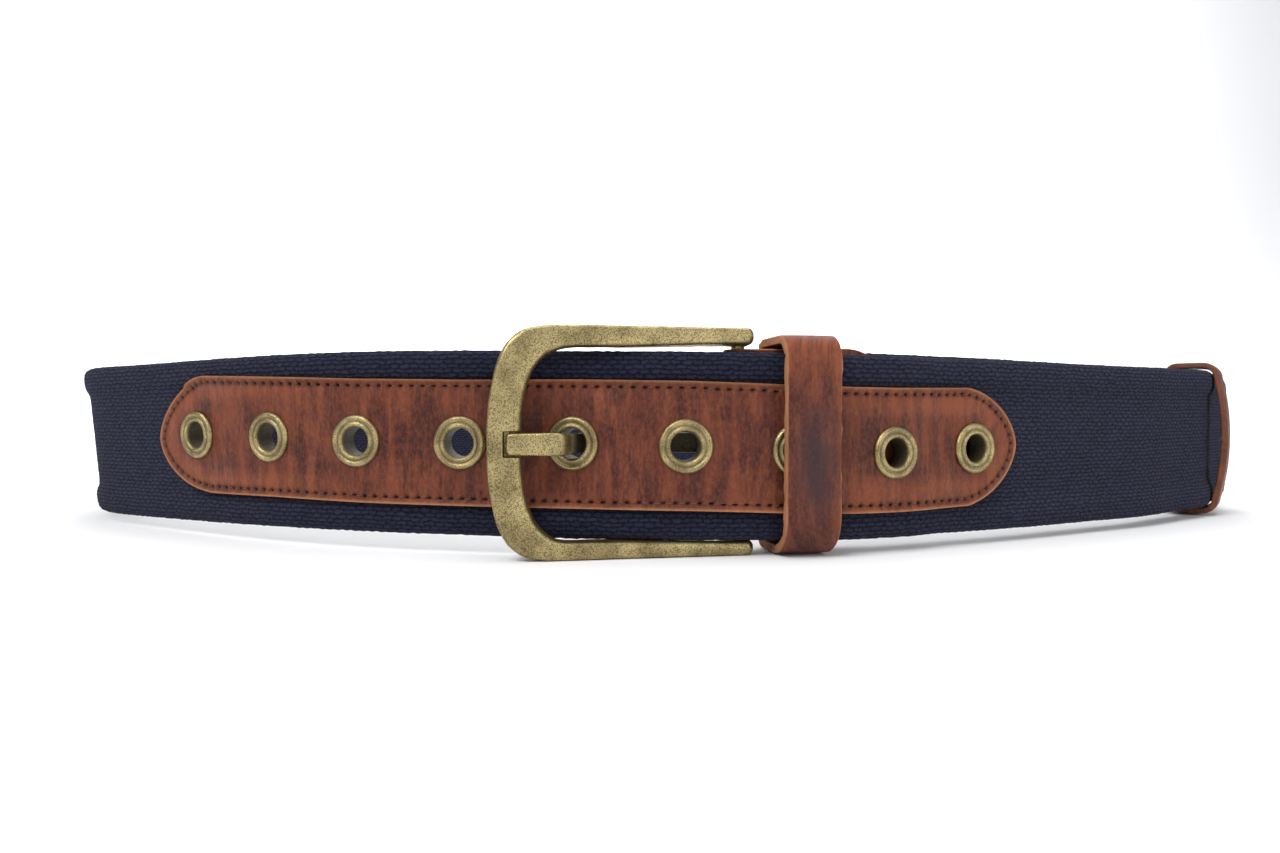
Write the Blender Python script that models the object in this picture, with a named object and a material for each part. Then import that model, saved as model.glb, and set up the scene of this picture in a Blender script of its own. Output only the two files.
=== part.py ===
"""Canvas web belt, buckled into a loop and standing on its edge.

The belt is laid out in millimetres on a plan curve. X runs to the right across
the front, Y runs away from the viewer and Z is up. Everything that belongs to
the strap is placed by how far along the strap it lies, how far out from the
strap's middle layer and how high above the strap's lower edge.
"""
import math

import bmesh
import bpy
import numpy as np
from mathutils import Matrix, Vector

MM = 0.001

# Web: a 40 mm strap with a thin middle and a thick woven band along each edge
WEB_HEIGHT = 40.0
BAND_HEIGHT = 7.0
BAND_THICK = 4.1
CORE_THICK = 2.0
BAND_SLOPE = 1.2
WEB_EDGE = (
    # height above the edge, how far in from the band's face
    (0.0, 1.0),
    (0.5, 0.35),
    (1.5, 0.0),
)
SECTION_STEP = 24.0
SECTION_TURN_DEG = 15.0

# How the loop stands: the buckle's lower arm holds the front up
FRONT_LIFT = 3.9
REST_DEPTH = 3.0
LEFT_LEAN_DEG = 5.5
MAIN_LAYER_RISE = 0.6
MAIN_RISE_FADE = 150.0
FREE_RISE_ROWS = (
    # distance past the heel bar, how far the strap rides up
    (-160.0, 0.0),
    (-107.0, 0.55),
    (-84.0, 0.6),
    (-60.0, 0.4),
    (-36.0, 0.0),
    (0.0, -0.25),
    (23.0, -0.6),
    (57.0, -0.5),
    (120.0, -0.25),
    (165.0, 0.4),
)

# Plan of the loop, along the middle of the layer that lies under the free end
LOOP_PLAN = (
    # x, y
    (34.8, 8.1),
    (54.7, 10.4),
    (73.0, 16.3),
    (99.0, 26.3),
    (129.7, 40.9),
    (155.3, 54.0),
    (165.6, 60.8),
    (175.8, 66.8),
    (184.8, 75.4),
    (192.2, 88.0),
    (196.0, 104.0),
    (190.0, 133.0),
    (168.0, 166.0),
    (128.0, 195.0),
    (80.0, 210.0),
    (26.0, 214.0),
    (-30.0, 209.0),
    (-80.0, 193.0),
    (-120.0, 165.0),
    (-144.0, 130.0),
    (-149.5, 95.0),
    (-141.0, 66.0),
    (-132.3, 53.6),
    (-119.7, 45.1),
    (-93.5, 30.0),
    (-71.3, 18.5),
    (-49.1, 10.1),
    (-25.5, 5.5),
    (3.0, 6.2),
)
LOOP_SAMPLES = 2400
SPLINE_STEPS = 40

# Layers, from the tip inwards
GAP = 0.3
LAYER_GAP = 0.5
TAB_THICK = 1.4
TAB_LENGTH = 36.0
WEB_START = 9.0
LIFT_RUN = 60.0
LIFT_START = -70.0
OFF_TAB = (34.0, 52.0)
TIP_PAST_RING = 13.0
TIP_FLARE = 7.0
TIP_FLARE_POWER = 2.3
TIP_ROUND = 5.0
TIP_ROUND_STEPS = (1.0, 0.6, 0.25, 0.0)
RING_STATIONS = (-6.5, 0.0, 6.5, 11.0)

# Patch and eyelets on the free end
EYELET_PITCH = 23.45
PRONG_REACH = 36.2
EYELET_ROWS = (
    # eyelet, shift from its even place, height above the middle of the web
    (1, -1.6, 1.8),
    (2, -0.8, 1.15),
    (3, -0.65, 0.3),
    (4, -0.3, 0.15),
    (5, 1.2, 0.4),
    (6, 0.5, 0.0),
    (7, 1.0, -0.55),
    (8, 0.15, -1.15),
    (9, 0.5, -0.5),
)
PATCH_THICK = 1.6
PATCH_ROWS = (
    # distance from the prong's eyelet, height of the middle, width
    (-112.0, 0.6, 28.4),
    (-95.0, 1.8, 28.4),
    (-71.0, 1.05, 27.6),
    (-48.0, 0.3, 27.2),
    (-24.0, 0.1, 27.0),
    (0.0, 0.3, 27.2),
    (24.0, 0.1, 27.2),
    (47.0, -0.4, 27.1),
    (70.0, -0.5, 27.0),
    (93.0, -0.1, 27.0),
    (108.0, 0.2, 27.0),
)
PATCH_REACH = (-111.3, 106.1)
PATCH_END_LENGTHS = (20.0, 16.0)
PATCH_END_POWER = 1.72
PATCH_END_TURNS_DEG = (86.0, 76.0, 62.0, 44.0, 22.0)
PATCH_EDGE_ROW = 0.5
PRONG_EYELET = 5
BORE_RADIUS = 3.1
BARREL_RADIUS = 3.5
FLANGE_HEIGHT = 0.7
EYELET_FLANGE = (
    # radius, height above the patch
    (BORE_RADIUS, 0.15),
    (3.6, 0.6),
    (4.3, FLANGE_HEIGHT),
    (5.2, 0.6),
    (5.8, 0.2),
    (5.65, 0.0),
)
EYELET_BACK = (
    # radius, height under the web
    (5.2, 0.0),
    (4.9, 0.4),
    (BORE_RADIUS, 0.4),
)
HOLE_RADIUS = 3.8
HOLE_REACH = (-2.4, 6.0)
EYELET_SIDES = 14

# The prong tips its eyelet: the strap is turned over this much of its length
PRONG_TILT_DEG = 17.0
TILT_FLAT = 6.6
TILT_END = 15.0
TILT_STEPS = 4
TILT_ROW = 10.1

# Buckle frame
ARM_GAP = 41.4
ARM_HEIGHT = 3.6
FRAME_LOW = -0.3
FRAME_FRONT_Y = -6.6
FRAME_SLOPE = 0.16
FRONT_BAR_THICK = 4.3
ARM_THICK_GAIN = 2.6
FRAME_ROUND = 1.15
ROUND_SHARE = 0.29
HEEL_BAR = LOOP_PLAN[0]
HEEL_BAR_RADIUS = 1.5
HEEL_BAR_SIDES = 12
FRAME_HALF = (
    # outer x, outer height, inner x, inner height, from the middle of the front bar
    (-19.2, 0.0, -11.7, 0.0),
    (-19.1, 4.8, -11.6, 4.4),
    (-18.7, 9.4, -11.2, 8.6),
    (-17.9, 13.7, -10.4, 12.4),
    (-16.6, 17.3, -9.1, 15.5),
    (-14.6, 20.5, -7.2, 18.0),
    (-11.8, 22.8, -4.7, 19.7),
    (-8.0, 24.0, -1.6, 20.5),
    (-3.2, 24.3, 3.0, 20.7),
    (12.0, 24.3, 12.0, 20.7),
    (25.0, 24.3, 25.0, 20.7),
    (36.1, 24.3, 36.1, 20.7),
)
ARM_END_ROUND = 1.3
ARM_END_INSET = 0.9
NOTCH_X = (-15.8, -9.0)
NOTCH_FRONT_Y = -8.6
NOTCH_HALF_HEIGHT = 2.75
NOTCH_FLOOR_Y = -3.8

# Prong, bent from flat bar: its front and back faces in plan, and its width
PRONG_ROWS = (
    # front x, front y, back x, back y, width
    (-15.5, -5.6, -15.5, -4.7, 2.6),
    (-15.1, -6.0, -15.1, -4.3, 3.9),
    (-14.2, -6.2, -14.2, -4.1, 4.7),
    (-10.0, -6.2, -10.6, -4.1, 4.7),
    (-5.2, -6.2, -6.9, -4.1, 4.7),
    (-3.5, -5.8, -5.4, -3.3, 4.6),
    (-2.6, -4.6, -4.4, -2.3, 4.3),
    (-1.3, -1.6, -3.1, -0.9, 4.2),
    (1.6, 2.7, -0.3, 3.6, 4.2),
    (2.8, 3.9, 1.2, 5.4, 4.2),
    (4.5, 4.5, 3.2, 6.25, 4.2),
    (7.0, 4.65, 6.4, 6.45, 4.2),
    (20.0, 4.6, 20.0, 6.4, 4.3),
    (29.5, 4.6, 29.5, 6.3, 4.4),
)
PRONG_BEVEL = 0.35
PRONG_BEVEL_SHARE = 0.4
PRONG_EYE_THICK = 1.6
PRONG_EYE_TURN_DEG = (-90.0, 205.0)
PRONG_EYE_STEPS = 12

# Heel tab
TAB_HALF_HEIGHT = 20.0
TAB_RISE = 0.3
TAB_END_RISE = 0.7
TAB_END_LENGTH = 14.0
TAB_END_CUT = 0.92
TAB_END_POWER = 2.4
TAB_LEAF_SHARES = (1.0, 0.97, 0.9, 0.8, 0.68, 0.5, 0.32, 0.14, 0.0)
TAB_FOLD_TURNS_DEG = (78.0, 110.0, 145.0, 180.0, 215.0, 250.0, 282.0)
TAB_SLOT_HALF_HEIGHT = 3.2
TAB_SLOT_LENGTH = 6.5
TAB_SLOT_DEPTH = 8.0

# Keepers: leather loops round both layers of the strap
KEEPER_WIDTH = 12.0
KEEPER_REAR_ROUND = 1.3
KEEPER_CORNER_STEPS = 5
KEEPER_FACE_SHARES = (-0.7, -0.35, 0.0, 0.35, 0.7)
BUCKLE_KEEPER = {
    "x": 48.0,
    "thick": 1.9,
    "inside": (-1.2, 42.0),
    "front_rounds": (6.4, 3.4),
    "bow": 0.0,
    "turn_deg": 0.0,
    "slack": 0.3,
}
END_KEEPER = {
    "x": 184.8,
    "thick": 1.6,
    "inside": (-0.7, 40.9),
    "front_rounds": (2.6, 2.8),
    "bow": 2.0,
    "turn_deg": 3.0,
    "slack": 1.0,
}

COLOURS = {
    # name: base colour, roughness, metallic
    "navy_web": ((0.022, 0.027, 0.062), 0.95, 0.0),
    "brown_leather": ((0.24, 0.085, 0.035), 0.5, 0.0),
    "antique_brass": ((0.42, 0.35, 0.18), 0.38, 1.0),
}


def clamp(value, low, high):
    return max(low, min(high, value))


def ramp(value, start, end):
    """Smooth step from 0 at start to 1 at end."""
    share = np.clip((value - start) / (end - start), 0.0, 1.0)
    return share * share * (3.0 - 2.0 * share)


def closed_spline(points, samples):
    """Points evenly spread along a smooth closed curve through the given points."""
    knots = np.array(points, dtype=float)
    count = len(knots)
    spans = np.linalg.norm(np.roll(knots, -1, axis=0) - knots, axis=1)
    matrix = np.zeros((count, count))
    rates = (np.roll(knots, -1, axis=0) - knots) / spans[:, None]
    for i in range(count):
        matrix[i, i - 1] += spans[i - 1]
        matrix[i, i] += 2.0 * (spans[i - 1] + spans[i])
        matrix[i, (i + 1) % count] += spans[i]
    bends = np.linalg.solve(matrix, 6.0 * (rates - np.roll(rates, 1, axis=0)))
    fine = []
    for i in range(count):
        step = spans[i]
        here, there = knots[i], knots[(i + 1) % count]
        bend_here, bend_there = bends[i], bends[(i + 1) % count]
        for share in np.linspace(0.0, 1.0, SPLINE_STEPS, endpoint=False):
            a, b = 1.0 - share, share
            curve = (a ** 3 - a) * bend_here + (b ** 3 - b) * bend_there
            fine.append(a * here + b * there + step * step / 6.0 * curve)
    fine = np.array(fine + [fine[0]])
    travelled = np.concatenate([[0.0], np.cumsum(np.linalg.norm(np.diff(fine, axis=0), axis=1))])
    even = np.linspace(0.0, travelled[-1], samples, endpoint=False)
    return np.column_stack([np.interp(even, travelled, fine[:, k]) for k in (0, 1)]), travelled[-1]


def outward_normals(points):
    """Unit normals on the outer side of a line that runs anticlockwise in plan."""
    along = np.gradient(points, axis=0)
    along /= np.linalg.norm(along, axis=1)[:, None]
    return np.column_stack([along[:, 1], -along[:, 0]])


def eyelet_distance(row):
    """How far an eyelet lies past the prong's eyelet."""
    shift = {number: slid for number, slid, _ in EYELET_ROWS}
    return (row[0] - PRONG_EYELET) * EYELET_PITCH + row[1] - shift[PRONG_EYELET]


class Strap:
    """The web's own line in plan, from its start at the heel bar to its tip."""

    def __init__(self):
        loop, self.loop_length = closed_spline(LOOP_PLAN, LOOP_SAMPLES)
        twice = np.vstack([loop, loop])
        normals = outward_normals(twice)
        travel = np.arange(len(twice)) * self.loop_length / LOOP_SAMPLES
        past_bar = travel - self.loop_length
        over_tab = BAND_THICK + TAB_THICK + 2 * GAP
        over_web = BAND_THICK + LAYER_GAP
        lift = over_tab * ramp(past_bar, LIFT_START, LIFT_START + LIFT_RUN)
        lift += (over_web - over_tab) * ramp(past_bar, *OFF_TAB)
        at_ring = (past_bar > 0.0) & (twice[:, 0] >= END_KEEPER["x"])
        ring_at = travel[np.argmax(at_ring)]
        tip_at = ring_at + KEEPER_WIDTH / 2 + TIP_PAST_RING
        past_ring = np.clip((travel - ring_at) / (tip_at - ring_at), 0.0, 1.0)
        lift += TIP_FLARE * past_ring ** TIP_FLARE_POWER
        keep = (travel >= WEB_START) & (travel <= tip_at)
        line = (twice + normals * lift[:, None])[keep]
        steps = np.linalg.norm(np.diff(line, axis=0), axis=1)
        fine = np.concatenate([[0.0], np.cumsum(steps)])
        self.length = fine[-1]
        self.bar_length = fine[np.argmax(past_bar[keep] >= 0.0)]
        self.ring_length = fine[np.argmax(travel[keep] >= ring_at)]
        self.prong_length = self.bar_length - PRONG_REACH
        middle = 0.5 * (line[:, 0].max() + line[:, 0].min())
        half = 0.5 * (line[:, 0].max() - line[:, 0].min())
        leftward = np.clip((middle - line[:, 0]) / half, 0.0, 1.0)
        lean = math.tan(math.radians(LEFT_LEAN_DEG)) * leftward ** 2
        rise = MAIN_LAYER_RISE * (1.0 - ramp(fine, 0.0, MAIN_RISE_FADE))
        rise += np.interp(fine - self.bar_length, *zip(*FREE_RISE_ROWS), left=0.0)
        slope = FRONT_LIFT * (1.0 - line[:, 1] / (line[:, 1].max() - REST_DEPTH))
        base = np.maximum(slope, 0.0) + rise
        normals = outward_normals(line)
        turned = np.unwrap(np.arctan2(normals[:, 1], normals[:, 0]))
        turned = np.concatenate([[0.0], np.cumsum(np.abs(np.diff(turned)))])
        self.stations = self.choose_stations(fine, turned)
        columns = (*line.T, *normals.T, base, lean)
        self.columns = [np.interp(self.stations, fine, column) for column in columns]

    def choose_stations(self, fine, turned):
        """Where the web's sections stand: set ones at the eyelets and tip, closer in turns."""
        near = [self.prong_length]
        for row in EYELET_ROWS:
            middle = self.prong_length + eyelet_distance(row)
            near += [middle - TILT_FLAT, middle + TILT_FLAT]
        for past in np.linspace(TILT_FLAT, TILT_END, TILT_STEPS)[1:]:
            near += [self.prong_length - past, self.prong_length + past]
        near.sort()
        tip = [self.ring_length + past for past in RING_STATIONS]
        tip += [self.length - TIP_ROUND * share for share in TIP_ROUND_STEPS]
        effort = fine / SECTION_STEP + turned / math.radians(SECTION_TURN_DEG)
        first, last, ring = np.interp((near[0], near[-1], tip[0]), fine, effort)
        before = np.linspace(0.0, first, round(first) + 1)[:-1]
        after = np.linspace(last, ring, round(ring - last) + 1)[1:-1]
        before, after = (np.interp(run, effort, fine) for run in (before, after))
        return np.concatenate([before, near, after, tip])

    def rounded_up(self, length, up):
        """Height on the web, drawn in where the corners of its tip are rounded."""
        past = 1.0 - clamp((self.length - length) / TIP_ROUND, 0.0, 1.0)
        drop = TIP_ROUND * (1.0 - math.sqrt(1.0 - past * past))
        middle = WEB_HEIGHT / 2
        return middle + (up - middle) * (1.0 - drop / middle)

    def plan(self, length):
        """Point, outward normal, base height and lean at a distance along the web."""
        return [float(np.interp(length, self.stations, column)) for column in self.columns]

    def length_at_x(self, x):
        """Distance along the web where its free end passes a given X."""
        lengths = np.linspace(self.bar_length, self.length, LOOP_SAMPLES)
        return float(lengths[np.argmax(np.interp(lengths, self.stations, self.columns[0]) >= x)])

    def tilt(self, length, up):
        """How far the prong pushes the strap out round its eyelet."""
        past = length - self.prong_length
        core = WEB_HEIGHT / 2 - BAND_HEIGHT
        off_middle = abs(up - WEB_HEIGHT / 2)
        reach = 1.0 - ramp(abs(past), TILT_FLAT, TILT_END)
        reach *= clamp((core - off_middle) / (core - TILT_FLAT), 0.0, 1.0)
        return math.tan(math.radians(PRONG_TILT_DEG)) * clamp(past, -TILT_FLAT, TILT_FLAT) * reach

    def place(self, length, out, up):
        """World point in millimetres for a place on the strap."""
        x, y, nx, ny, base, lean = self.plan(length)
        out += self.tilt(length, up) + lean * (up - WEB_HEIGHT / 2)
        return (x + nx * out, y + ny * out, base + up)

    def eyelet_seat(self, row):
        """Matrix in an eyelet's middle, whose Z axis stands out of the strap's face."""
        length = self.prong_length + eyelet_distance(row)
        up = WEB_HEIGHT / 2 + row[2]
        before = Vector(self.place(length - TILT_FLAT, 0.0, up))
        after = Vector(self.place(length + TILT_FLAT, 0.0, up))
        middle = (before + after) / 2
        along = after - before
        rise = Vector(self.place(length, 0.0, up + 1.0)) - Vector(self.place(length, 0.0, up - 1.0))
        out = along.cross(rise).normalized()
        along.normalize()
        rise = out.cross(along)
        turn = Matrix((along, rise, out)).transposed().to_4x4()
        return Matrix.Translation(middle) @ turn


def material(name):
    """Principled material in one of the belt's three finishes."""
    found = bpy.data.materials.get(name)
    if found:
        return found
    colour, roughness, metallic = COLOURS[name]
    made = bpy.data.materials.new(name)
    made.use_nodes = True
    shader = made.node_tree.nodes["Principled BSDF"]
    shader.inputs["Base Color"].default_value = (*colour, 1.0)
    shader.inputs["Roughness"].default_value = roughness
    shader.inputs["Metallic"].default_value = metallic
    made.diffuse_color = (*colour, 1.0)
    return made


def mesh_object(name, points, faces, finish=None, smooth_deg=35.0):
    """Object made from points in millimetres."""
    mesh = bpy.data.meshes.new(name)
    mesh.from_pydata([tuple(c * MM for c in p) for p in points], [], faces)
    shape = bmesh.new()
    shape.from_mesh(mesh)
    bmesh.ops.recalc_face_normals(shape, faces=shape.faces)
    shape.to_mesh(mesh)
    shape.free()
    if finish:
        mesh.materials.append(material(finish))
        mesh.shade_smooth()
        mesh.set_sharp_from_angle(angle=math.radians(smooth_deg))
    made = bpy.data.objects.new(name, mesh)
    bpy.context.collection.objects.link(made)
    return made


def tube_faces(rings, ring_size, closed=False):
    """Quads between neighbouring rings, with end caps when the run is open."""
    faces = []
    spans = rings if closed else rings - 1
    for i in range(spans):
        a, b = i * ring_size, ((i + 1) % rings) * ring_size
        for k in range(ring_size):
            n = (k + 1) % ring_size
            faces.append((a + k, a + n, b + n, b + k))
    if not closed:
        faces.append(tuple(range(ring_size)))
        faces.append(tuple(range((rings - 1) * ring_size, rings * ring_size)))
    return faces


def cutter(name, points, faces):
    """Closed shape that only cuts."""
    made = mesh_object(name, points, faces)
    made.hide_render = True
    made.display_type = 'WIRE'
    return made


def cut(target, tool, operation='DIFFERENCE'):
    """Exact boolean on an object."""
    step = target.modifiers.new(tool.name, 'BOOLEAN')
    step.operation = operation
    step.solver = 'EXACT'
    step.object = tool


def box(x, y, z):
    """Corners and faces of a block between pairs of limits."""
    points = [(x[i], y[j], z[k]) for i in (0, 1) for j in (0, 1) for k in (0, 1)]
    faces = [(0, 1, 3, 2), (4, 6, 7, 5), (0, 4, 5, 1), (2, 3, 7, 6), (0, 2, 6, 4), (1, 5, 7, 3)]
    return points, faces


def web_face():
    """Height and half thickness of the web's outer face, from its lower edge up."""
    band, core = BAND_THICK / 2, CORE_THICK / 2
    lower = [(up, band - inset) for up, inset in WEB_EDGE]
    lower += [
        (BAND_HEIGHT - BAND_SLOPE, band),
        (BAND_HEIGHT, core),
        (WEB_HEIGHT / 2 - TILT_ROW, core),
        (WEB_HEIGHT / 2 - TILT_FLAT, core),
    ]
    return lower + [(WEB_HEIGHT - up, half) for up, half in reversed(lower)]


def make_web(strap):
    """The whole strap as one closed loft, still without eyelet holes."""
    face = web_face()
    ring = [(half, up) for up, half in face] + [(-half, up) for up, half in reversed(face)]
    points = []
    for length in strap.stations:
        points += [strap.place(length, out, strap.rounded_up(length, up)) for out, up in ring]
    faces = tube_faces(len(strap.stations), len(ring))
    return mesh_object("web_strap", points, faces, "navy_web")


def patch_outline(strap):
    """Distance from the prong's eyelet and share of the full width, along the patch."""
    ends = []
    for reach, length, way in zip(PATCH_REACH, PATCH_END_LENGTHS, (-1, 1)):
        for turn in PATCH_END_TURNS_DEG:
            along = math.sin(math.radians(turn))
            share = (1.0 - along ** PATCH_END_POWER) ** (1.0 / PATCH_END_POWER)
            ends.append((reach - way * length * (1.0 - along), share))
    start = PATCH_REACH[0] + PATCH_END_LENGTHS[0]
    stop = PATCH_REACH[1] - PATCH_END_LENGTHS[1]
    middle = [(d, 1.0) for d in strap.stations - strap.prong_length if start < d < stop]
    return sorted(ends + middle)


def patch_seat(up):
    """Height of the face that the patch lies on: the core, or the band where it overlaps."""
    past_core = abs(up - WEB_HEIGHT / 2) - (WEB_HEIGHT / 2 - BAND_HEIGHT)
    climb = clamp(past_core / BAND_SLOPE, 0.0, 1.0)
    return CORE_THICK / 2 + (BAND_THICK - CORE_THICK) / 2 * climb


def patch_heights(distance, share):
    """Heights of the patch's ten rows across its width, from the lower edge up."""
    places, above, widths = zip(*PATCH_ROWS)
    rise = float(np.interp(distance, places, above))
    half = float(np.interp(distance, places, widths)) / 2 * share
    core_edge = WEB_HEIGHT / 2 - BAND_HEIGHT
    sides = []
    for way in (-1, 1):
        reach = half + way * rise
        rows = [reach,
                min(reach - PATCH_EDGE_ROW * share, core_edge + BAND_SLOPE),
                min(reach - 2 * PATCH_EDGE_ROW * share, core_edge),
                TILT_ROW * share + way * rise,
                TILT_FLAT * share + way * rise]
        sides.append([WEB_HEIGHT / 2 + way * row for row in rows])
    return sides[0] + sides[1][::-1]


def make_patch(strap):
    """Leather facing that follows the strap's face."""
    points = []
    outline = patch_outline(strap)
    for distance, share in outline:
        length = strap.prong_length + distance
        back = [(patch_seat(up) + GAP, up) for up in patch_heights(distance, share)]
        front = [(out + PATCH_THICK, up) for out, up in reversed(back)]
        points += [strap.place(length, out, up) for out, up in back + front]
    faces = tube_faces(len(outline), len(points) // len(outline))
    return mesh_object("eyelet_patch", points, faces, "brown_leather")


def eyelet_profile():
    """Radius and height of the eyelet's turned wall, bore first."""
    face = CORE_THICK / 2 + GAP + PATCH_THICK + GAP
    back = -CORE_THICK / 2 - GAP
    front = [(radius, face + height) for radius, height in EYELET_FLANGE]
    rear = [(radius, back - height) for radius, height in EYELET_BACK]
    return front + [(BARREL_RADIUS, face), (BARREL_RADIUS, back)] + rear


def make_eyelets(strap):
    """Nine eyelets, each turned round its own axis."""
    profile = eyelet_profile()
    for row in EYELET_ROWS:
        seat = strap.eyelet_seat(row)
        points = []
        for step in range(EYELET_SIDES):
            turn = 2.0 * math.pi * (step + 0.5) / EYELET_SIDES
            for radius, height in profile:
                local = Vector((radius * math.cos(turn), radius * math.sin(turn), height))
                points.append(tuple(seat @ local))
        faces = tube_faces(EYELET_SIDES, len(profile), closed=True)
        mesh_object(f"eyelet_{row[0]}", points, faces, "antique_brass", 50.0)


def make_hole_cutter(strap):
    """Nine short bars, one through each eyelet's place."""
    points, faces = [], []
    for row in EYELET_ROWS:
        seat = strap.eyelet_seat(row)
        start = len(points)
        for height in HOLE_REACH:
            for step in range(EYELET_SIDES):
                turn = 2.0 * math.pi * (step + 0.5) / EYELET_SIDES
                local = Vector((HOLE_RADIUS * math.cos(turn), HOLE_RADIUS * math.sin(turn), height))
                points.append(tuple(seat @ local))
        faces += [tuple(start + i for i in face) for face in tube_faces(2, EYELET_SIDES)]
    return cutter("eyelet_holes", points, faces)


def frame_depth(x):
    """Front and back of the frame at a given X."""
    along = x - FRAME_HALF[0][0]
    run = FRAME_HALF[-1][0] - FRAME_HALF[0][0]
    front = FRAME_FRONT_Y + FRAME_SLOPE * along
    return front, front + FRONT_BAR_THICK + ARM_THICK_GAIN * clamp(along / run, 0.0, 1.0)


def rounded_section(outer, inner, inset=0.0):
    """Twelve points round the frame's metal between an outer and an inner point."""
    outer, inner = Vector(outer), Vector(inner)
    across = (inner - outer).normalized()
    outer, inner = outer + across * inset, inner - across * inset
    points = []
    r = FRAME_ROUND
    corner = [(0.0, r), (ROUND_SHARE * r, ROUND_SHARE * r), (r, 0.0)]
    sides = (
        (outer, across, 0, 1.0, corner),
        (inner, -across, 0, 1.0, corner[::-1]),
        (inner, -across, 1, -1.0, corner),
        (outer, across, 1, -1.0, corner[::-1]),
    )
    for start, inward, face, sign, steps in sides:
        for along, deep in steps:
            spot = start + inward * along
            level = frame_depth(spot.x)[face] + sign * (deep + inset)
            points.append((spot.x, level, spot.z))
    return points


def make_frame():
    """Bowed front bar, two arms and the heel bar as one casting."""
    middle = FRONT_LIFT + FRAME_LOW + ARM_GAP / 2
    rings = []
    end_x = FRAME_HALF[-1][0]
    tip = (end_x + ARM_END_ROUND, FRAME_HALF[-1][1], end_x + ARM_END_ROUND, FRAME_HALF[-1][3])
    half = [(row, 0.0) for row in FRAME_HALF] + [(tip, ARM_END_INSET)]
    for side, rows in ((1, half[::-1]), (-1, half[1:])):
        for (ox, oz, ix, iz), inset in rows:
            outer, inner = (ox, 0.0, middle + side * oz), (ix, 0.0, middle + side * iz)
            rings.append(rounded_section(outer, inner, inset))
    points = [p for ring in rings for p in ring]
    frame = mesh_object("buckle_frame", points, tube_faces(len(rings), 12), "antique_brass", 40.0)
    reach = ARM_GAP / 2 + ARM_HEIGHT / 2
    bar = []
    for z in (middle - reach, middle + reach):
        for step in range(HEEL_BAR_SIDES):
            turn = 2.0 * math.pi * (step + 0.5) / HEEL_BAR_SIDES
            bar.append((HEEL_BAR[0] + HEEL_BAR_RADIUS * math.cos(turn),
                        HEEL_BAR[1] + HEEL_BAR_RADIUS * math.sin(turn), z))
    cut(frame, cutter("heel_bar", bar, tube_faces(2, HEEL_BAR_SIDES)), 'UNION')
    notch = box(NOTCH_X, (NOTCH_FRONT_Y, NOTCH_FLOOR_Y),
                (middle - NOTCH_HALF_HEIGHT, middle + NOTCH_HALF_HEIGHT))
    cut(frame, cutter("prong_notch", *notch))
    return frame


def make_prong():
    """Flat bar with a rounded tip, a knee at the eyelet and an eye round the heel bar."""
    middle = FRONT_LIFT + FRAME_LOW + ARM_GAP / 2
    inner = HEEL_BAR_RADIUS + GAP
    outer = inner + PRONG_EYE_THICK
    rows = list(PRONG_ROWS)
    start, end = PRONG_EYE_TURN_DEG
    for step in range(PRONG_EYE_STEPS + 1):
        turn = math.radians(start + (end - start) * step / PRONG_EYE_STEPS)
        spots = [(HEEL_BAR[0] + r * math.cos(turn), HEEL_BAR[1] + r * math.sin(turn))
                 for r in (outer, inner)]
        rows.append((*spots[0], *spots[1], PRONG_ROWS[-1][4]))
    points = []
    for fx, fy, bx, by, width in rows:
        deep = Vector((bx - fx, by - fy))
        soft = deep.normalized() * min(PRONG_BEVEL, deep.length * PRONG_BEVEL_SHARE)
        half, low = width / 2, width / 2 - PRONG_BEVEL
        face = [(fx, fy, -low), (fx, fy, low)]
        side = [(fx + soft.x, fy + soft.y, half), (bx - soft.x, by - soft.y, half)]
        back = [(bx, by, low), (bx, by, -low)]
        other = [(bx - soft.x, by - soft.y, -half), (fx + soft.x, fy + soft.y, -half)]
        points += [(x, y, middle + z) for x, y, z in face + side + back + other]
    return mesh_object("buckle_prong", points, tube_faces(len(rows), 8), "antique_brass", 40.0)


def tab_path(strap):
    """Middle of the tab's leather in plan: rear leaf, fold round the bar, front leaf."""
    leaf = BAND_THICK / 2 + GAP + TAB_THICK / 2
    fold = HEEL_BAR_RADIUS + GAP + TAB_THICK / 2
    rear, front = [], []
    for share in TAB_LEAF_SHARES:
        length = (TAB_LENGTH - WEB_START) * share
        x, y, nx, ny, base, _ = strap.plan(length)
        base += TAB_RISE + TAB_END_RISE * share
        rear.append((x - nx * leaf, y - ny * leaf, base, share))
        front.append((x + nx * leaf, y + ny * leaf, base, share))
    turns = [math.radians(turn) for turn in TAB_FOLD_TURNS_DEG]
    base = rear[-1][2]
    around = [(HEEL_BAR[0] + fold * math.cos(t), HEEL_BAR[1] + fold * math.sin(t), base, 0.0)
              for t in turns]
    return rear + around + front[::-1]


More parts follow.
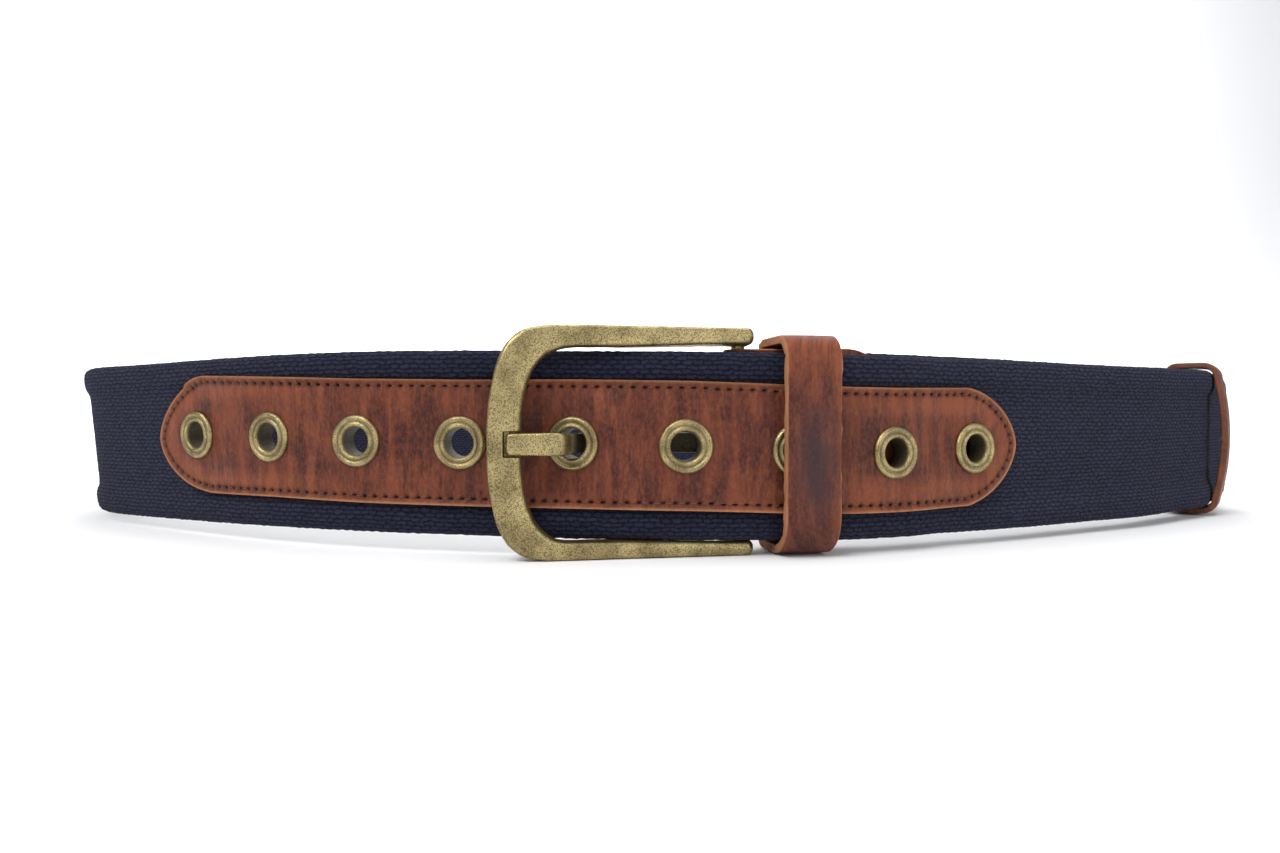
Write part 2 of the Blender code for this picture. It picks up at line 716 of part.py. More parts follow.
def make_tab(strap):
    """Leather tab with rounded leaf ends and a slot for the prong's eye."""
    path = tab_path(strap)
    plan = np.array([(x, y) for x, y, _, _ in path])
    sides = outward_normals(plan)
    points = []
    reach = TAB_LENGTH - WEB_START
    for (x, y, base, share), (nx, ny) in zip(path, sides):
        past = max(0.0, share * reach - (reach - TAB_END_LENGTH)) / TAB_END_LENGTH
        half = TAB_HALF_HEIGHT * math.sqrt(1.0 - TAB_END_CUT * past ** TAB_END_POWER)
        low, high = base + WEB_HEIGHT / 2 - half, base + WEB_HEIGHT / 2 + half
        t = TAB_THICK / 2
        points += [(x + nx * t, y + ny * t, low), (x + nx * t, y + ny * t, high),
                   (x - nx * t, y - ny * t, high), (x - nx * t, y - ny * t, low)]
    tab = mesh_object("heel_tab", points, tube_faces(len(path), 4), "brown_leather")
    middle = FRONT_LIFT + FRAME_LOW + ARM_GAP / 2
    slot = box((HEEL_BAR[0] - TAB_SLOT_DEPTH, HEEL_BAR[0] + TAB_SLOT_LENGTH),
               (HEEL_BAR[1] - TAB_SLOT_DEPTH, HEEL_BAR[1] + TAB_SLOT_DEPTH),
               (middle - TAB_SLOT_HALF_HEIGHT, middle + TAB_SLOT_HALF_HEIGHT))
    cut(tab, cutter("prong_slot", *slot))
    return tab


def keeper_line(shape, front, rear):
    """Inner outline of a keeper: out and up, anticlockwise, with rounded corners."""
    low, high = shape["inside"]
    low_round, high_round = shape["front_rounds"]
    back = KEEPER_REAR_ROUND
    corners = (
        # middle of the corner's round, its radius and its first direction
        (front - high_round, high - high_round, high_round, 0.0),
        (rear + back, high - back, back, 90.0),
        (rear + back, low + back, back, 180.0),
        (front - low_round, low + low_round, low_round, 270.0),
    )
    line = []
    for out, up, radius, start in corners:
        for step in range(KEEPER_CORNER_STEPS + 1):
            turn = math.radians(start + 90.0 * step / KEEPER_CORNER_STEPS)
            line.append((out + radius * math.cos(turn), up + radius * math.sin(turn)))
    middle = (low + low_round + high - high_round) / 2
    straight = middle - low - low_round
    for share in KEEPER_FACE_SHARES:
        line.append((front + shape["bow"] * (1.0 - share ** 2), middle + share * straight))
    return line


def make_keeper(name, strap, shape, length, front, rear):
    """Leather loop round both layers of the strap."""
    inner = np.array(keeper_line(shape, front, rear))
    along = np.roll(inner, -1, axis=0) - np.roll(inner, 1, axis=0)
    along /= np.linalg.norm(along, axis=1)[:, None]
    outer = inner + np.column_stack([along[:, 1], -along[:, 0]]) * shape["thick"]
    x, y, nx, ny, base, lean = strap.plan(length)
    turn = math.radians(shape["turn_deg"])
    slant_x = nx * math.sin(turn) - ny * math.cos(turn)
    slant_y = ny * math.sin(turn) + nx * math.cos(turn)
    points = []
    for (out_in, up_in), (out_out, up_out) in zip(inner, outer):
        for out, up, side in ((out_in, up_in, -1), (out_out, up_out, -1),
                              (out_out, up_out, 1), (out_in, up_in, 1)):
            leant = out + lean * (up - WEB_HEIGHT / 2)
            slide = side * KEEPER_WIDTH / 2
            points.append((x + nx * leant + slant_x * slide, y + ny * leant + slant_y * slide,
                           base + up))
    return mesh_object(name, points, tube_faces(len(inner), 4, closed=True), "brown_leather")


def make_keepers(strap):
    """One loop by the buckle, over the patch and the tab, and one at the tip."""
    face = CORE_THICK / 2 + GAP + PATCH_THICK + GAP + FLANGE_HEIGHT
    under = 2 * BAND_THICK + 2 * TAB_THICK + 3 * GAP - BAND_THICK / 2
    at = strap.length_at_x(BUCKLE_KEEPER["x"])
    make_keeper("buckle_keeper", strap, BUCKLE_KEEPER, at, face + GAP,
                -under - BUCKLE_KEEPER["slack"])
    under = 2 * BAND_THICK + LAYER_GAP - BAND_THICK / 2
    make_keeper("end_keeper", strap, END_KEEPER, strap.ring_length, BAND_THICK / 2 + GAP,
                -under - END_KEEPER["slack"])


def stand_on_origin():
    """Parents everything to one empty that puts the middle of the belt's foot at the origin."""
    bpy.context.view_layer.update()
    graph = bpy.context.evaluated_depsgraph_get()
    corners = []
    for part in [o for o in bpy.data.objects if not o.hide_render]:
        solid = part.evaluated_get(graph)
        corners += [solid.matrix_world @ Vector(c) for c in solid.bound_box]
    low = [min(c[k] for c in corners) for k in range(3)]
    high = [max(c[k] for c in corners) for k in range(3)]
    foot = bpy.data.objects.new("belt_origin", None)
    bpy.context.collection.objects.link(foot)
    foot.location = (-(low[0] + high[0]) / 2, -(low[1] + high[1]) / 2, -low[2])
    for part in list(bpy.data.objects):
        if part.type == 'MESH':
            part.parent = foot


def main():
    for old in list(bpy.data.objects):
        bpy.data.objects.remove(old, do_unlink=True)
    strap = Strap()
    holes = make_hole_cutter(strap)
    cut(make_web(strap), holes)
    cut(make_patch(strap), holes)
    make_eyelets(strap)
    make_frame()
    make_prong()
    make_tab(strap)
    make_keepers(strap)
    stand_on_origin()
    waist = WEB_START + strap.prong_length
    print(f"web {strap.length:.0f} mm, from the heel bar round to the prong's eyelet {waist:.0f} mm")


main()
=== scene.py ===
import math

import bpy
import numpy as np
from mathutils import Matrix, Vector, noise


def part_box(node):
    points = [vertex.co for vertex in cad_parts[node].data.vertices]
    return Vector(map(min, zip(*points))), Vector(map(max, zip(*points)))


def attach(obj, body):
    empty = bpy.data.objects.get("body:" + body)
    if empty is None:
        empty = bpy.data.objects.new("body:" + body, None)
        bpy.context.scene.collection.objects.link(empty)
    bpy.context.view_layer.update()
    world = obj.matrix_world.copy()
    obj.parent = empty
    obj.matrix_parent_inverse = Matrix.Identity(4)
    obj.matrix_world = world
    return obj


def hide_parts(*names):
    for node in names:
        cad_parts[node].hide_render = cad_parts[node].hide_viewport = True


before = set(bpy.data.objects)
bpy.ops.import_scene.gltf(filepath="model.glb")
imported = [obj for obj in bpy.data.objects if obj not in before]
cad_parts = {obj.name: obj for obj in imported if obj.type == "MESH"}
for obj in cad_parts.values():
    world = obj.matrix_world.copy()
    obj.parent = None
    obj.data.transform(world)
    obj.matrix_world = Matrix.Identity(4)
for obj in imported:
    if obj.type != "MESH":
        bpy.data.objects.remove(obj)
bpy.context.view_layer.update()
mm = 0.001
pieceCount = 0

# The strap's line in millimetres, as the CAD has it: along the middle of the layer under the free end
strapPlan = {
    "line": (
        (34.8, 8.1), (54.7, 10.4), (73.0, 16.3), (99.0, 26.3), (129.7, 40.9), (155.3, 54.0),
        (165.6, 60.8), (175.8, 66.8), (184.8, 75.4), (192.2, 88.0), (196.0, 104.0), (190.0, 133.0),
        (168.0, 166.0), (128.0, 195.0), (80.0, 210.0), (26.0, 214.0), (-30.0, 209.0), (-80.0, 193.0),
        (-120.0, 165.0), (-144.0, 130.0), (-149.5, 95.0), (-141.0, 66.0), (-132.3, 53.6),
        (-119.7, 45.1), (-93.5, 30.0), (-71.3, 18.5), (-49.1, 10.1), (-25.5, 5.5), (3.0, 6.2),
    ),
    "samples": 2400,
    "frameCorner": (-19.2, -6.416),  # the buckle frame's lowest x and y on this plan
    "width": 40.0,
    "bandHeight": 7.0,
    "bandThick": 4.1,
    "coreThick": 2.0,
    "bandSlope": 1.2,
    "frontLift": 3.9,
    "restDepth": 3.0,
    "leftLean": 5.5,
    "innerRise": 0.6,
    "innerRiseFade": 150.0,
    "rises": (  # distance past the heel bar, how far the strap rides up
        (-160.0, 0.0), (-107.0, 0.55), (-84.0, 0.6), (-60.0, 0.4), (-36.0, 0.0), (0.0, -0.25),
        (23.0, -0.6), (57.0, -0.5), (120.0, -0.25), (165.0, 0.4),
    ),
    "start": 9.0,
    "tabThick": 1.4,
    "tabLength": 36.0,
    "gap": 0.3,
    "layerGap": 0.5,
    "liftStart": -70.0,
    "liftRun": 60.0,
    "stepDown": (34.0, 52.0),
    "tipPastRing": 13.0,
    "tipFlare": 7.8,
    "tipFlarePower": 2.3,
    "tipRound": 5.0,
    "prongReach": 36.2,
    "ringX": 184.8,
    "keeperWidth": 12.0,
    "tiltDeg": 17.0,
    "tiltFlat": 6.6,
    "tiltEnd": 15.0,
}
planShift = [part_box("buckle_frame")[0][k] / mm - strapPlan["frameCorner"][k] for k in (0, 1)]
print("plan shift", planShift)


def ramp(value, start, end):
    share = np.clip((value - start) / (end - start), 0.0, 1.0)
    return share * share * (3.0 - 2.0 * share)


def closedLine(points, samples):
    # smooth closed curve through the points, evenly spread
    knots = np.array(points, dtype=float)
    count = len(knots)
    spans = np.linalg.norm(np.roll(knots, -1, axis=0) - knots, axis=1)
    rates = (np.roll(knots, -1, axis=0) - knots) / spans[:, None]
    matrix = np.zeros((count, count))
    for i in range(count):
        matrix[i, i - 1] += spans[i - 1]
        matrix[i, i] += 2.0 * (spans[i - 1] + spans[i])
        matrix[i, (i + 1) % count] += spans[i]
    bends = np.linalg.solve(matrix, 6.0 * (rates - np.roll(rates, 1, axis=0)))
    fine = []
    for i in range(count):
        j = (i + 1) % count
        for b in np.linspace(0.0, 1.0, 40, endpoint=False):
            a = 1.0 - b
            curve = (a ** 3 - a) * bends[i] + (b ** 3 - b) * bends[j]
            fine.append(a * knots[i] + b * knots[j] + spans[i] ** 2 / 6.0 * curve)
    fine = np.array(fine + [fine[0]])
    travelled = np.concatenate([[0.0], np.cumsum(np.linalg.norm(np.diff(fine, axis=0), axis=1))])
    even = np.linspace(0.0, travelled[-1], samples, endpoint=False)
    return np.column_stack([np.interp(even, travelled, fine[:, k]) for k in (0, 1)]), travelled[-1]


def outwardNormals(points):
    along = np.gradient(points, axis=0)
    along /= np.linalg.norm(along, axis=1)[:, None]
    return np.column_stack([along[:, 1], -along[:, 0]])


def strapLine(plan):
    # the web's own line from its start at the heel bar, once round and out to the tip
    loop, loopLength = closedLine(plan["line"], plan["samples"])
    twice = np.vstack([loop, loop])
    normals = outwardNormals(twice)
    travel = np.arange(len(twice)) * loopLength / plan["samples"]
    pastBar = travel - loopLength
    overTab = plan["bandThick"] + plan["tabThick"] + 2 * plan["gap"]
    overWeb = plan["bandThick"] + plan["layerGap"]
    lift = overTab * ramp(pastBar, plan["liftStart"], plan["liftStart"] + plan["liftRun"])
    lift += (overWeb - overTab) * ramp(pastBar, *plan["stepDown"])
    ringAt = travel[np.argmax(np.where(pastBar > 0, twice[:, 0] >= plan["ringX"], False))]
    tipAt = ringAt + plan["keeperWidth"] / 2 + plan["tipPastRing"]
    lift += plan["tipFlare"] * np.clip((travel - ringAt) / (tipAt - ringAt), 0, 1) ** plan["tipFlarePower"]
    keep = (travel >= plan["start"]) & (travel <= tipAt)
    line = (twice + normals * lift[:, None])[keep]
    at = np.concatenate([[0.0], np.cumsum(np.linalg.norm(np.diff(line, axis=0), axis=1))])
    bar = at[np.argmax(pastBar[keep] >= 0.0)]
    middle = 0.5 * (line[:, 0].max() + line[:, 0].min())
    half = 0.5 * (line[:, 0].max() - line[:, 0].min())
    lean = math.tan(math.radians(plan["leftLean"])) * np.clip((middle - line[:, 0]) / half, 0, 1) ** 2
    rise = plan["innerRise"] * (1.0 - ramp(at, 0.0, plan["innerRiseFade"]))
    rise += np.interp(at - bar, *zip(*plan["rises"]), left=0.0)
    slope = plan["frontLift"] * (1.0 - line[:, 1] / (line[:, 1].max() - plan["restDepth"]))
    normals = outwardNormals(line)
    return {
        "at": at, "columns": (*line.T, *normals.T, np.maximum(slope, 0.0) + rise, lean),
        "length": at[-1], "bar": bar, "ring": at[np.argmax(travel[keep] >= ringAt)],
        "prong": bar - plan["prongReach"],
    }


strap = strapLine(strapPlan)
middleUp = strapPlan["width"] / 2
coreHalf = middleUp - strapPlan["bandHeight"]
print("strap", round(strap["length"], 1), "prong", round(strap["prong"], 1), "ring", round(strap["ring"], 1))


def stationAt(along):
    return [np.interp(along, strap["at"], column) for column in strap["columns"]]


def onStrap(flat):
    # flat is along the strap, out from its middle layer, and up from its lower edge, in millimetres
    along, out, up = np.asarray(flat, dtype=float).T
    x, y, nx, ny, base, lean = stationAt(along)
    past = along - strap["prong"]
    reach = 1.0 - ramp(np.abs(past), strapPlan["tiltFlat"], strapPlan["tiltEnd"])
    reach *= np.clip((coreHalf - np.abs(up - middleUp)) / (coreHalf - strapPlan["tiltFlat"]), 0, 1)
    tip = np.clip(past, -strapPlan["tiltFlat"], strapPlan["tiltFlat"]) * reach
    out = out + math.tan(math.radians(strapPlan["tiltDeg"])) * tip + lean * (up - middleUp)
    return np.column_stack([x + nx * out + planShift[0], y + ny * out + planShift[1], base + up]) * mm


def roundedTip(flat):
    # draws the strap's corners in where its tip is rounded
    past = np.clip(1.0 - (strap["length"] - flat[:, 0]) / strapPlan["tipRound"], 0.0, 1.0)
    drop = strapPlan["tipRound"] * (1.0 - np.sqrt(1.0 - past * past))
    up = middleUp + (flat[:, 2] - middleUp) * (1.0 - drop / middleUp)
    return np.column_stack([flat[:, :2], up])


def coords(piece):
    found = np.zeros(len(piece.data.vertices) * 3)
    piece.data.vertices.foreach_get("co", found)
    return found.reshape(-1, 3)


def setCoords(piece, points):
    piece.data.vertices.foreach_set("co", np.asarray(points, dtype=np.float32).ravel())
    piece.data.update()


def addMask(piece, name, values):
    mask = piece.data.attributes.get(name) or piece.data.attributes.new(name, "FLOAT", "POINT")
    mask.data.foreach_set("value", np.asarray(values, dtype=np.float32))


def clearSelection():
    if bpy.context.object and bpy.context.object.mode != "OBJECT":
        bpy.ops.object.mode_set(mode="OBJECT")
    bpy.ops.object.select_all(action="DESELECT")


def editAll():
    bpy.ops.object.mode_set(mode="EDIT")
    bpy.ops.mesh.select_all(action="SELECT")


def leaveEdit():
    bpy.ops.object.mode_set(mode="OBJECT")


def faceOutwards():
    bpy.ops.mesh.select_all(action="SELECT")
    bpy.ops.mesh.normals_make_consistent(inside=False)


def applyPlace():
    bpy.ops.object.transform_apply(location=True, rotation=True, scale=True)


def sliceAt(at, normal):
    bpy.ops.mesh.select_all(action="SELECT")
    bpy.ops.mesh.bisect(plane_co=at, plane_no=normal)


def cuttingBox(middle, size):
    clearSelection()
    bpy.ops.mesh.primitive_cube_add(size=1.0, location=middle, scale=size)
    applyPlace()
    return bpy.context.object


def noiseAt(points, scale, shift=(0.0, 0.0, 0.0)):
    return np.array([noise.noise(Vector(p) * scale + Vector(shift)) for p in points])


def pick(piece):
    clearSelection()
    piece.select_set(True)
    bpy.context.view_layer.objects.active = piece


def applyModifiers(piece):
    pick(piece)
    for step in list(piece.modifiers):
        bpy.ops.object.modifier_apply(modifier=step.name)


def carve(piece, tool, operation="DIFFERENCE"):
    # one boolean, after which the tool is gone
    step = piece.modifiers.new("carve", "BOOLEAN")
    step.operation = operation
    step.solver = "MANIFOLD"
    step.object = tool
    applyModifiers(piece)
    bpy.data.objects.remove(tool)


def setFlatMap(piece, flat):
    # UV map in millimetres, from flat places of the vertices
    layer = piece.data.uv_layers.get("flatMap") or piece.data.uv_layers.new(name="flatMap")
    corners = np.zeros(len(piece.data.loops), dtype=int)
    piece.data.loops.foreach_get("vertex_index", corners)
    layer.data.foreach_set("uv", np.asarray(flat, dtype=np.float32)[corners].ravel())


def sweptShell(name, rings, alongs=None, arounds=None, closedRun=False):
    # a grid primitive rolled into a tube through the rings, its ends filled unless the run closes
    rings = np.asarray(rings, dtype=float)
    runs, around = rings.shape[:2]
    spans = runs if closedRun else runs - 1
    clearSelection()
    bpy.ops.mesh.primitive_grid_add(x_subdivisions=spans, y_subdivisions=around, size=2.0)
    shell = bpy.context.object
    shell.name = name
    flat = coords(shell)
    column = np.rint((flat[:, 0] + 1.0) / 2.0 * spans).astype(int)
    row = np.rint((flat[:, 1] + 1.0) / 2.0 * around).astype(int)
    if alongs is not None:
        alongs = np.append(alongs, 2 * alongs[-1] - alongs[-2])
        setFlatMap(shell, np.column_stack([alongs[column], np.asarray(arounds)[row]]))
    setCoords(shell, rings[column % runs, row % around])
    editAll()
    bpy.ops.mesh.remove_doubles(threshold=0.0005)
    if not closedRun:
        bpy.ops.mesh.fill_holes(sides=0)
    faceOutwards()
    leaveEdit()
    return shell


def finishPiece(piece, finish, stoodFor=(), sharpDeg=40.0):
    global pieceCount
    pieceCount += 1
    piece.data.materials.clear()
    piece.data.materials.append(finish)
    pick(piece)
    bpy.ops.object.shade_smooth_by_angle(angle=math.radians(sharpDeg))
    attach(piece, "root")
    if stoodFor:
        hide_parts(*stoodFor)
    print(f"{piece.name}: {sum(len(face.vertices) - 2 for face in piece.data.polygons)} triangles")
    return piece


# Camera, where the photograph was taken from: close and low, just left of the buckle's middle
cameraSetup = {"back": 168.9, "height": 31.2, "pitchDown": 1.13, "lens": 22.5, "shiftRight": 60 / 1280}
bpy.ops.object.camera_add(
    location=((planShift[0]) * mm, (planShift[1] - cameraSetup["back"]) * mm, cameraSetup["height"] * mm),
    rotation=(math.radians(90.0 - cameraSetup["pitchDown"]), 0.0, 0.0),
)
camera = bpy.context.object
camera.data.sensor_width = 36.0
camera.data.lens = cameraSetup["lens"]
camera.data.shift_x = cameraSetup["shiftRight"]
camera.data.clip_start = 0.005
camera.data.clip_end = 20.0
bpy.context.scene.camera = camera
bpy.context.scene.view_settings.view_transform = "Standard"
print("camera ready")


def addNode(tree, kind, sockets=None, **settings):
    made = tree.nodes.new(kind)
    for key, value in settings.items():
        setattr(made, key, value)
    for key, value in (sockets or {}).items():
        if isinstance(value, bpy.types.NodeSocket):
            tree.links.new(value, made.inputs[key])
        else:
            made.inputs[key].default_value = value
    return made


def maths(tree, operation, *values):
    made = addNode(tree, "ShaderNodeMath", dict(enumerate(values)), operation=operation)
    return made.outputs[0]


def vectorMaths(tree, operation, first, second):
    return addNode(tree, "ShaderNodeVectorMath", {0: first, 1: second}, operation=operation).outputs[0]


def centred(tree, value):
    # nought to one becomes one, nought, one, as a distance from the middle
    return maths(tree, "ABSOLUTE", maths(tree, "MULTIPLY_ADD", value, 2.0, -1.0))


def remap(tree, value, low, high, newLow=0.0, newHigh=1.0):
    made = addNode(tree, "ShaderNodeMapRange", {0: value, 1: low, 2: high, 3: newLow, 4: newHigh},
                   interpolation_type="SMOOTHSTEP")
    return made.outputs[0]


def blendColours(tree, factor, first, second, mode="MIX"):
    made = addNode(tree, "ShaderNodeMix", {0: factor, 6: first, 7: second}, data_type="RGBA", blend_type=mode)
    return made.outputs[2]


def grainNoise(tree, vector, scale, detail=3.0, roughness=0.55, stretch=None):
    if stretch:
        vector = vectorMaths(tree, "MULTIPLY", vector, stretch)
    made = addNode(tree, "ShaderNodeTexNoise",
                   {"Vector": vector, "Scale": scale, "Detail": detail, "Roughness": roughness})
    return made.outputs[0]


def effectGroup(name, inputs, outputs):
    tree = bpy.data.node_groups.new(name, "ShaderNodeTree")
    for label, kind, value in inputs:
        socket = tree.interface.new_socket(label, in_out="INPUT", socket_type=kind)
        if value is not None:
            socket.default_value = value
    for label, kind in outputs:
        tree.interface.new_socket(label, in_out="OUTPUT", socket_type=kind)
    return tree, tree.nodes.new("NodeGroupInput").outputs, tree.nodes.new("NodeGroupOutput").inputs


def useGroup(tree, group, **values):
    made = tree.nodes.new("ShaderNodeGroup")
    made.node_tree = group
    for key, value in values.items():
        label = "".join(" " + c if c.isupper() else c for c in key).capitalize()
        if isinstance(value, bpy.types.NodeSocket):
            tree.links.new(value, made.inputs[label])
        else:
            made.inputs[label].default_value = value
    return made.outputs


def newMaterial(name):
    made = bpy.data.materials.new(name)
    made.use_nodes = True
    return made, made.node_tree, made.node_tree.nodes["Principled BSDF"]


floatSocket, vectorSocket = "NodeSocketFloat", "NodeSocketVector"


def makeWovenLoops():
    # rows of flat yarn loops, staggered like bricks: one row is one unit of v
    tree, given, result = effectGroup(
        "wovenLoops",
        (("Place", vectorSocket, None), ("Loop length", floatSocket, 2.2)),
        (("Height", floatSocket), ("Gap", floatSocket), ("Tone", floatSocket), ("Lint", floatSocket)),
    )
    place = given["Place"]
    for scale, amount in ((0.4, (2.0, 0.9, 0.0)), (1.9, (1.6, 0.9, 0.0))):  # slow waver, then ragged loops
        waver = addNode(tree, "ShaderNodeTexNoise", {"Vector": given["Place"], "Scale": scale, "Detail": 2.0})
        shift = vectorMaths(tree, "SUBTRACT", waver.outputs[1], (0.5, 0.5, 0.5))
        place = vectorMaths(tree, "ADD", place, vectorMaths(tree, "MULTIPLY", shift, amount))
    parts = addNode(tree, "ShaderNodeSeparateXYZ", {0: place})
    row = maths(tree, "FLOOR", parts.outputs[1])
    odd = maths(tree, "MODULO", row, 2.0)
    across = maths(tree, "FRACT", parts.outputs[1])
    run = maths(tree, "DIVIDE", parts.outputs[0], given["Loop length"])
    run = maths(tree, "ADD", run, maths(tree, "MULTIPLY", maths(tree, "SUBTRACT", 1.0, odd), 0.5))
    cell = maths(tree, "FLOOR", run)
    along = maths(tree, "FRACT", run)
    ridge = maths(tree, "SUBTRACT", 1.0, maths(tree, "POWER", centred(tree, across), 1.8))
    loop = maths(tree, "SUBTRACT", 1.0, maths(tree, "POWER", centred(tree, along), 2.2))
    hill = maths(tree, "MULTIPLY", ridge, maths(tree, "MULTIPLY_ADD", loop, 0.8, 0.2))
    spot = addNode(tree, "ShaderNodeCombineXYZ", {0: cell, 1: row})
    tone = addNode(tree, "ShaderNodeTexWhiteNoise", {"Vector": spot.outputs[0]}, noise_dimensions="2D")
    strands = grainNoise(tree, given["Place"], 1.0, 2.0, 0.6, (1.8, 7.0, 1.0))
    fuzz = grainNoise(tree, given["Place"], 5.5, 2.0, 0.7)
    height = maths(tree, "MULTIPLY_ADD", strands, 0.45, hill)
    tree.links.new(maths(tree, "MULTIPLY_ADD", fuzz, 0.35, height), result["Height"])
    lint = grainNoise(tree, given["Place"], 1.5, 2.0, 0.85)
    tree.links.new(remap(tree, lint, 0.7, 0.76), result["Lint"])
    # painted shade: the hollows between loops, taken from the low parts of the height
    tree.links.new(remap(tree, hill, 0.7, 0.05), result["Gap"])
    mixed = maths(tree, "MULTIPLY_ADD", tone.outputs[0], 0.35, maths(tree, "MULTIPLY", strands, 0.35))
    mixed = maths(tree, "MULTIPLY_ADD", remap(tree, fuzz, 0.35, 0.65), 0.35, mixed)
    tree.links.new(mixed, result["Tone"])
    return tree


def makeLeatherGrain():
    # pull-up leather: cloudy tone, fine creases across the strap and small pores
    tree, given, result = effectGroup(
        "leatherGrain",
        (("Place", vectorSocket, None),),
        (("Height", floatSocket), ("Cloud", floatSocket), ("Crease", floatSocket), ("Streak", floatSocket),
         ("Speck", floatSocket)),
    )
    place = given["Place"]
    cloud = grainNoise(tree, place, 0.11, 4.0, 0.62, (1.0, 0.7, 1.0))
    creases = grainNoise(tree, place, 1.0, 5.0, 0.72, (1.5, 0.7, 1.0))
    streaks = grainNoise(tree, place, 0.2, 4.0, 0.65, (1.7, 0.3, 1.0))
    pores = addNode(tree, "ShaderNodeTexVoronoi", {"Vector": place, "Scale": 2.1, "Randomness": 1.0})
    pits = remap(tree, pores.outputs[0], 0.0, 0.5)
    fine = grainNoise(tree, place, 4.5, 3.0, 0.6)
    height = maths(tree, "MULTIPLY_ADD", pits, 0.35, maths(tree, "MULTIPLY_ADD", fine, 0.3, creases))
    specks = grainNoise(tree, place, 1.7, 2.0, 0.8)
    tree.links.new(height, result["Height"])
    tree.links.new(remap(tree, cloud, 0.4, 0.6), result["Cloud"])
    tree.links.new(remap(tree, creases, 0.44, 0.6), result["Crease"])
    tree.links.new(remap(tree, streaks, 0.42, 0.64), result["Streak"])
    tree.links.new(remap(tree, specks, 0.66, 0.74), result["Speck"])
    return tree


def makeTumbledMetal():
    # small dents, fine mottling and short scratches of a part that was tumbled
    tree, given, result = effectGroup(
        "tumbledMetal",
        (("Place", vectorSocket, None), ("Grain", floatSocket, 1.0)),
        (("Height", floatSocket), ("Stain", floatSocket), ("Cloud", floatSocket), ("Scratch", floatSocket)),
    )
    place = addNode(tree, "ShaderNodeVectorMath", {0: given["Place"]}, operation="SCALE")
    tree.links.new(given["Grain"], place.inputs["Scale"])
    place = place.outputs[0]
    dents = grainNoise(tree, place, 1.1, 3.0, 0.55)
    mottle = grainNoise(tree, place, 3.2, 4.0, 0.72)
    scratches = grainNoise(tree, place, 1.0, 4.0, 0.8, (0.7, 2.0, 6.5))
    crossed = grainNoise(tree, place, 1.0, 3.0, 0.8, (6.0, 1.0, 0.8))
    scratch = remap(tree, maths(tree, "MULTIPLY", scratches, crossed), 0.22, 0.36)
    height = maths(tree, "MULTIPLY_ADD", mottle, 0.35, dents)
    tree.links.new(maths(tree, "MULTIPLY_ADD", scratch, 0.12, height), result["Height"])
    tree.links.new(remap(tree, mottle, 0.56, 0.38), result["Stain"])
    tree.links.new(remap(tree, grainNoise(tree, place, 0.16, 2.0, 0.5), 0.35, 0.65), result["Cloud"])
    tree.links.new(scratch, result["Scratch"])
    return tree


wovenLoops, leatherGrain, tumbledMetal = makeWovenLoops(), makeLeatherGrain(), makeTumbledMetal()


def flatPlace(tree):
    return addNode(tree, "ShaderNodeUVMap", uv_map="flatMap").outputs[0]


def solidPlace(tree):
    # Object coordinates in millimetres
    made = addNode(tree, "ShaderNodeTexCoord").outputs["Object"]
    return addNode(tree, "ShaderNodeVectorMath", {0: made, "Scale": 1000.0}, operation="SCALE").outputs[0]


def mask(tree, name):
    return addNode(tree, "ShaderNodeAttribute", attribute_name=name).outputs["Fac"]


def addBump(tree, shader, height, depth):
    bump = addNode(tree, "ShaderNodeBump", {"Height": height, "Distance": depth * mm, "Strength": 1.0})
    tree.links.new(bump.outputs[0], shader.inputs["Normal"])


navyCotton = {
    # painted shade in the hollows between the loops
    "gap": (0.0035, 0.0038, 0.009, 1.0),
    "yarn": (0.008, 0.0088, 0.02, 1.0),
    "litYarn": (0.026, 0.0275, 0.054, 1.0),
    # dust colour, also used as painted light: the web is painted lighter further from the buckle
    "dust": (0.055, 0.057, 0.088, 1.0),
    "fade": (25.0, 120.0, 0.22),  # from and to this far from the buckle, and how much
    "lint": (0.26, 0.27, 0.31, 1.0),
    "loopLength": 2.2,
    "bumpDepth": 0.32,
}


def makeNavyCotton(spec):
    made, tree, shader = newMaterial("navyCotton")
    place = flatPlace(tree)
    loops = useGroup(tree, wovenLoops, place=place, loopLength=spec["loopLength"])
    cloud = grainNoise(tree, place, 0.05, 3.0, 0.6)
    yarn = blendColours(tree, loops["Tone"], spec["yarn"], spec["litYarn"])
    along = addNode(tree, "ShaderNodeSeparateXYZ", {0: place}).outputs[0]
    away = maths(tree, "ABSOLUTE", maths(tree, "SUBTRACT", along, strap["prong"]))
    nearEnd, farEnd, amount = spec["fade"]
    # painted light: the web is painted lighter further from the prong's eyelet, where more light falls on it; the
    # cloud adds real dust
    paintedLight = remap(tree, away, nearEnd, farEnd, 0.0, amount)
    yarn = blendColours(tree, maths(tree, "MULTIPLY_ADD", cloud, 0.2, paintedLight), yarn, spec["dust"])
    # the hollows between loops are painted dark as shade
    colour = blendColours(tree, maths(tree, "MULTIPLY", loops["Gap"], 0.85), yarn, spec["gap"])
    colour = blendColours(tree, maths(tree, "MULTIPLY", loops["Lint"], 0.4), colour, spec["lint"])
    tree.links.new(colour, shader.inputs["Base Color"])
    shader.inputs["Roughness"].default_value = 0.92
    shader.inputs["Specular IOR Level"].default_value = 0.06
    shader.inputs["Sheen Weight"].default_value = 0.04
    shader.inputs["Sheen Roughness"].default_value = 0.5
    shader.inputs["Sheen Tint"].default_value = (0.7, 0.7, 0.8, 1.0)
    addBump(tree, shader, loops["Height"], spec["bumpDepth"])
    return made


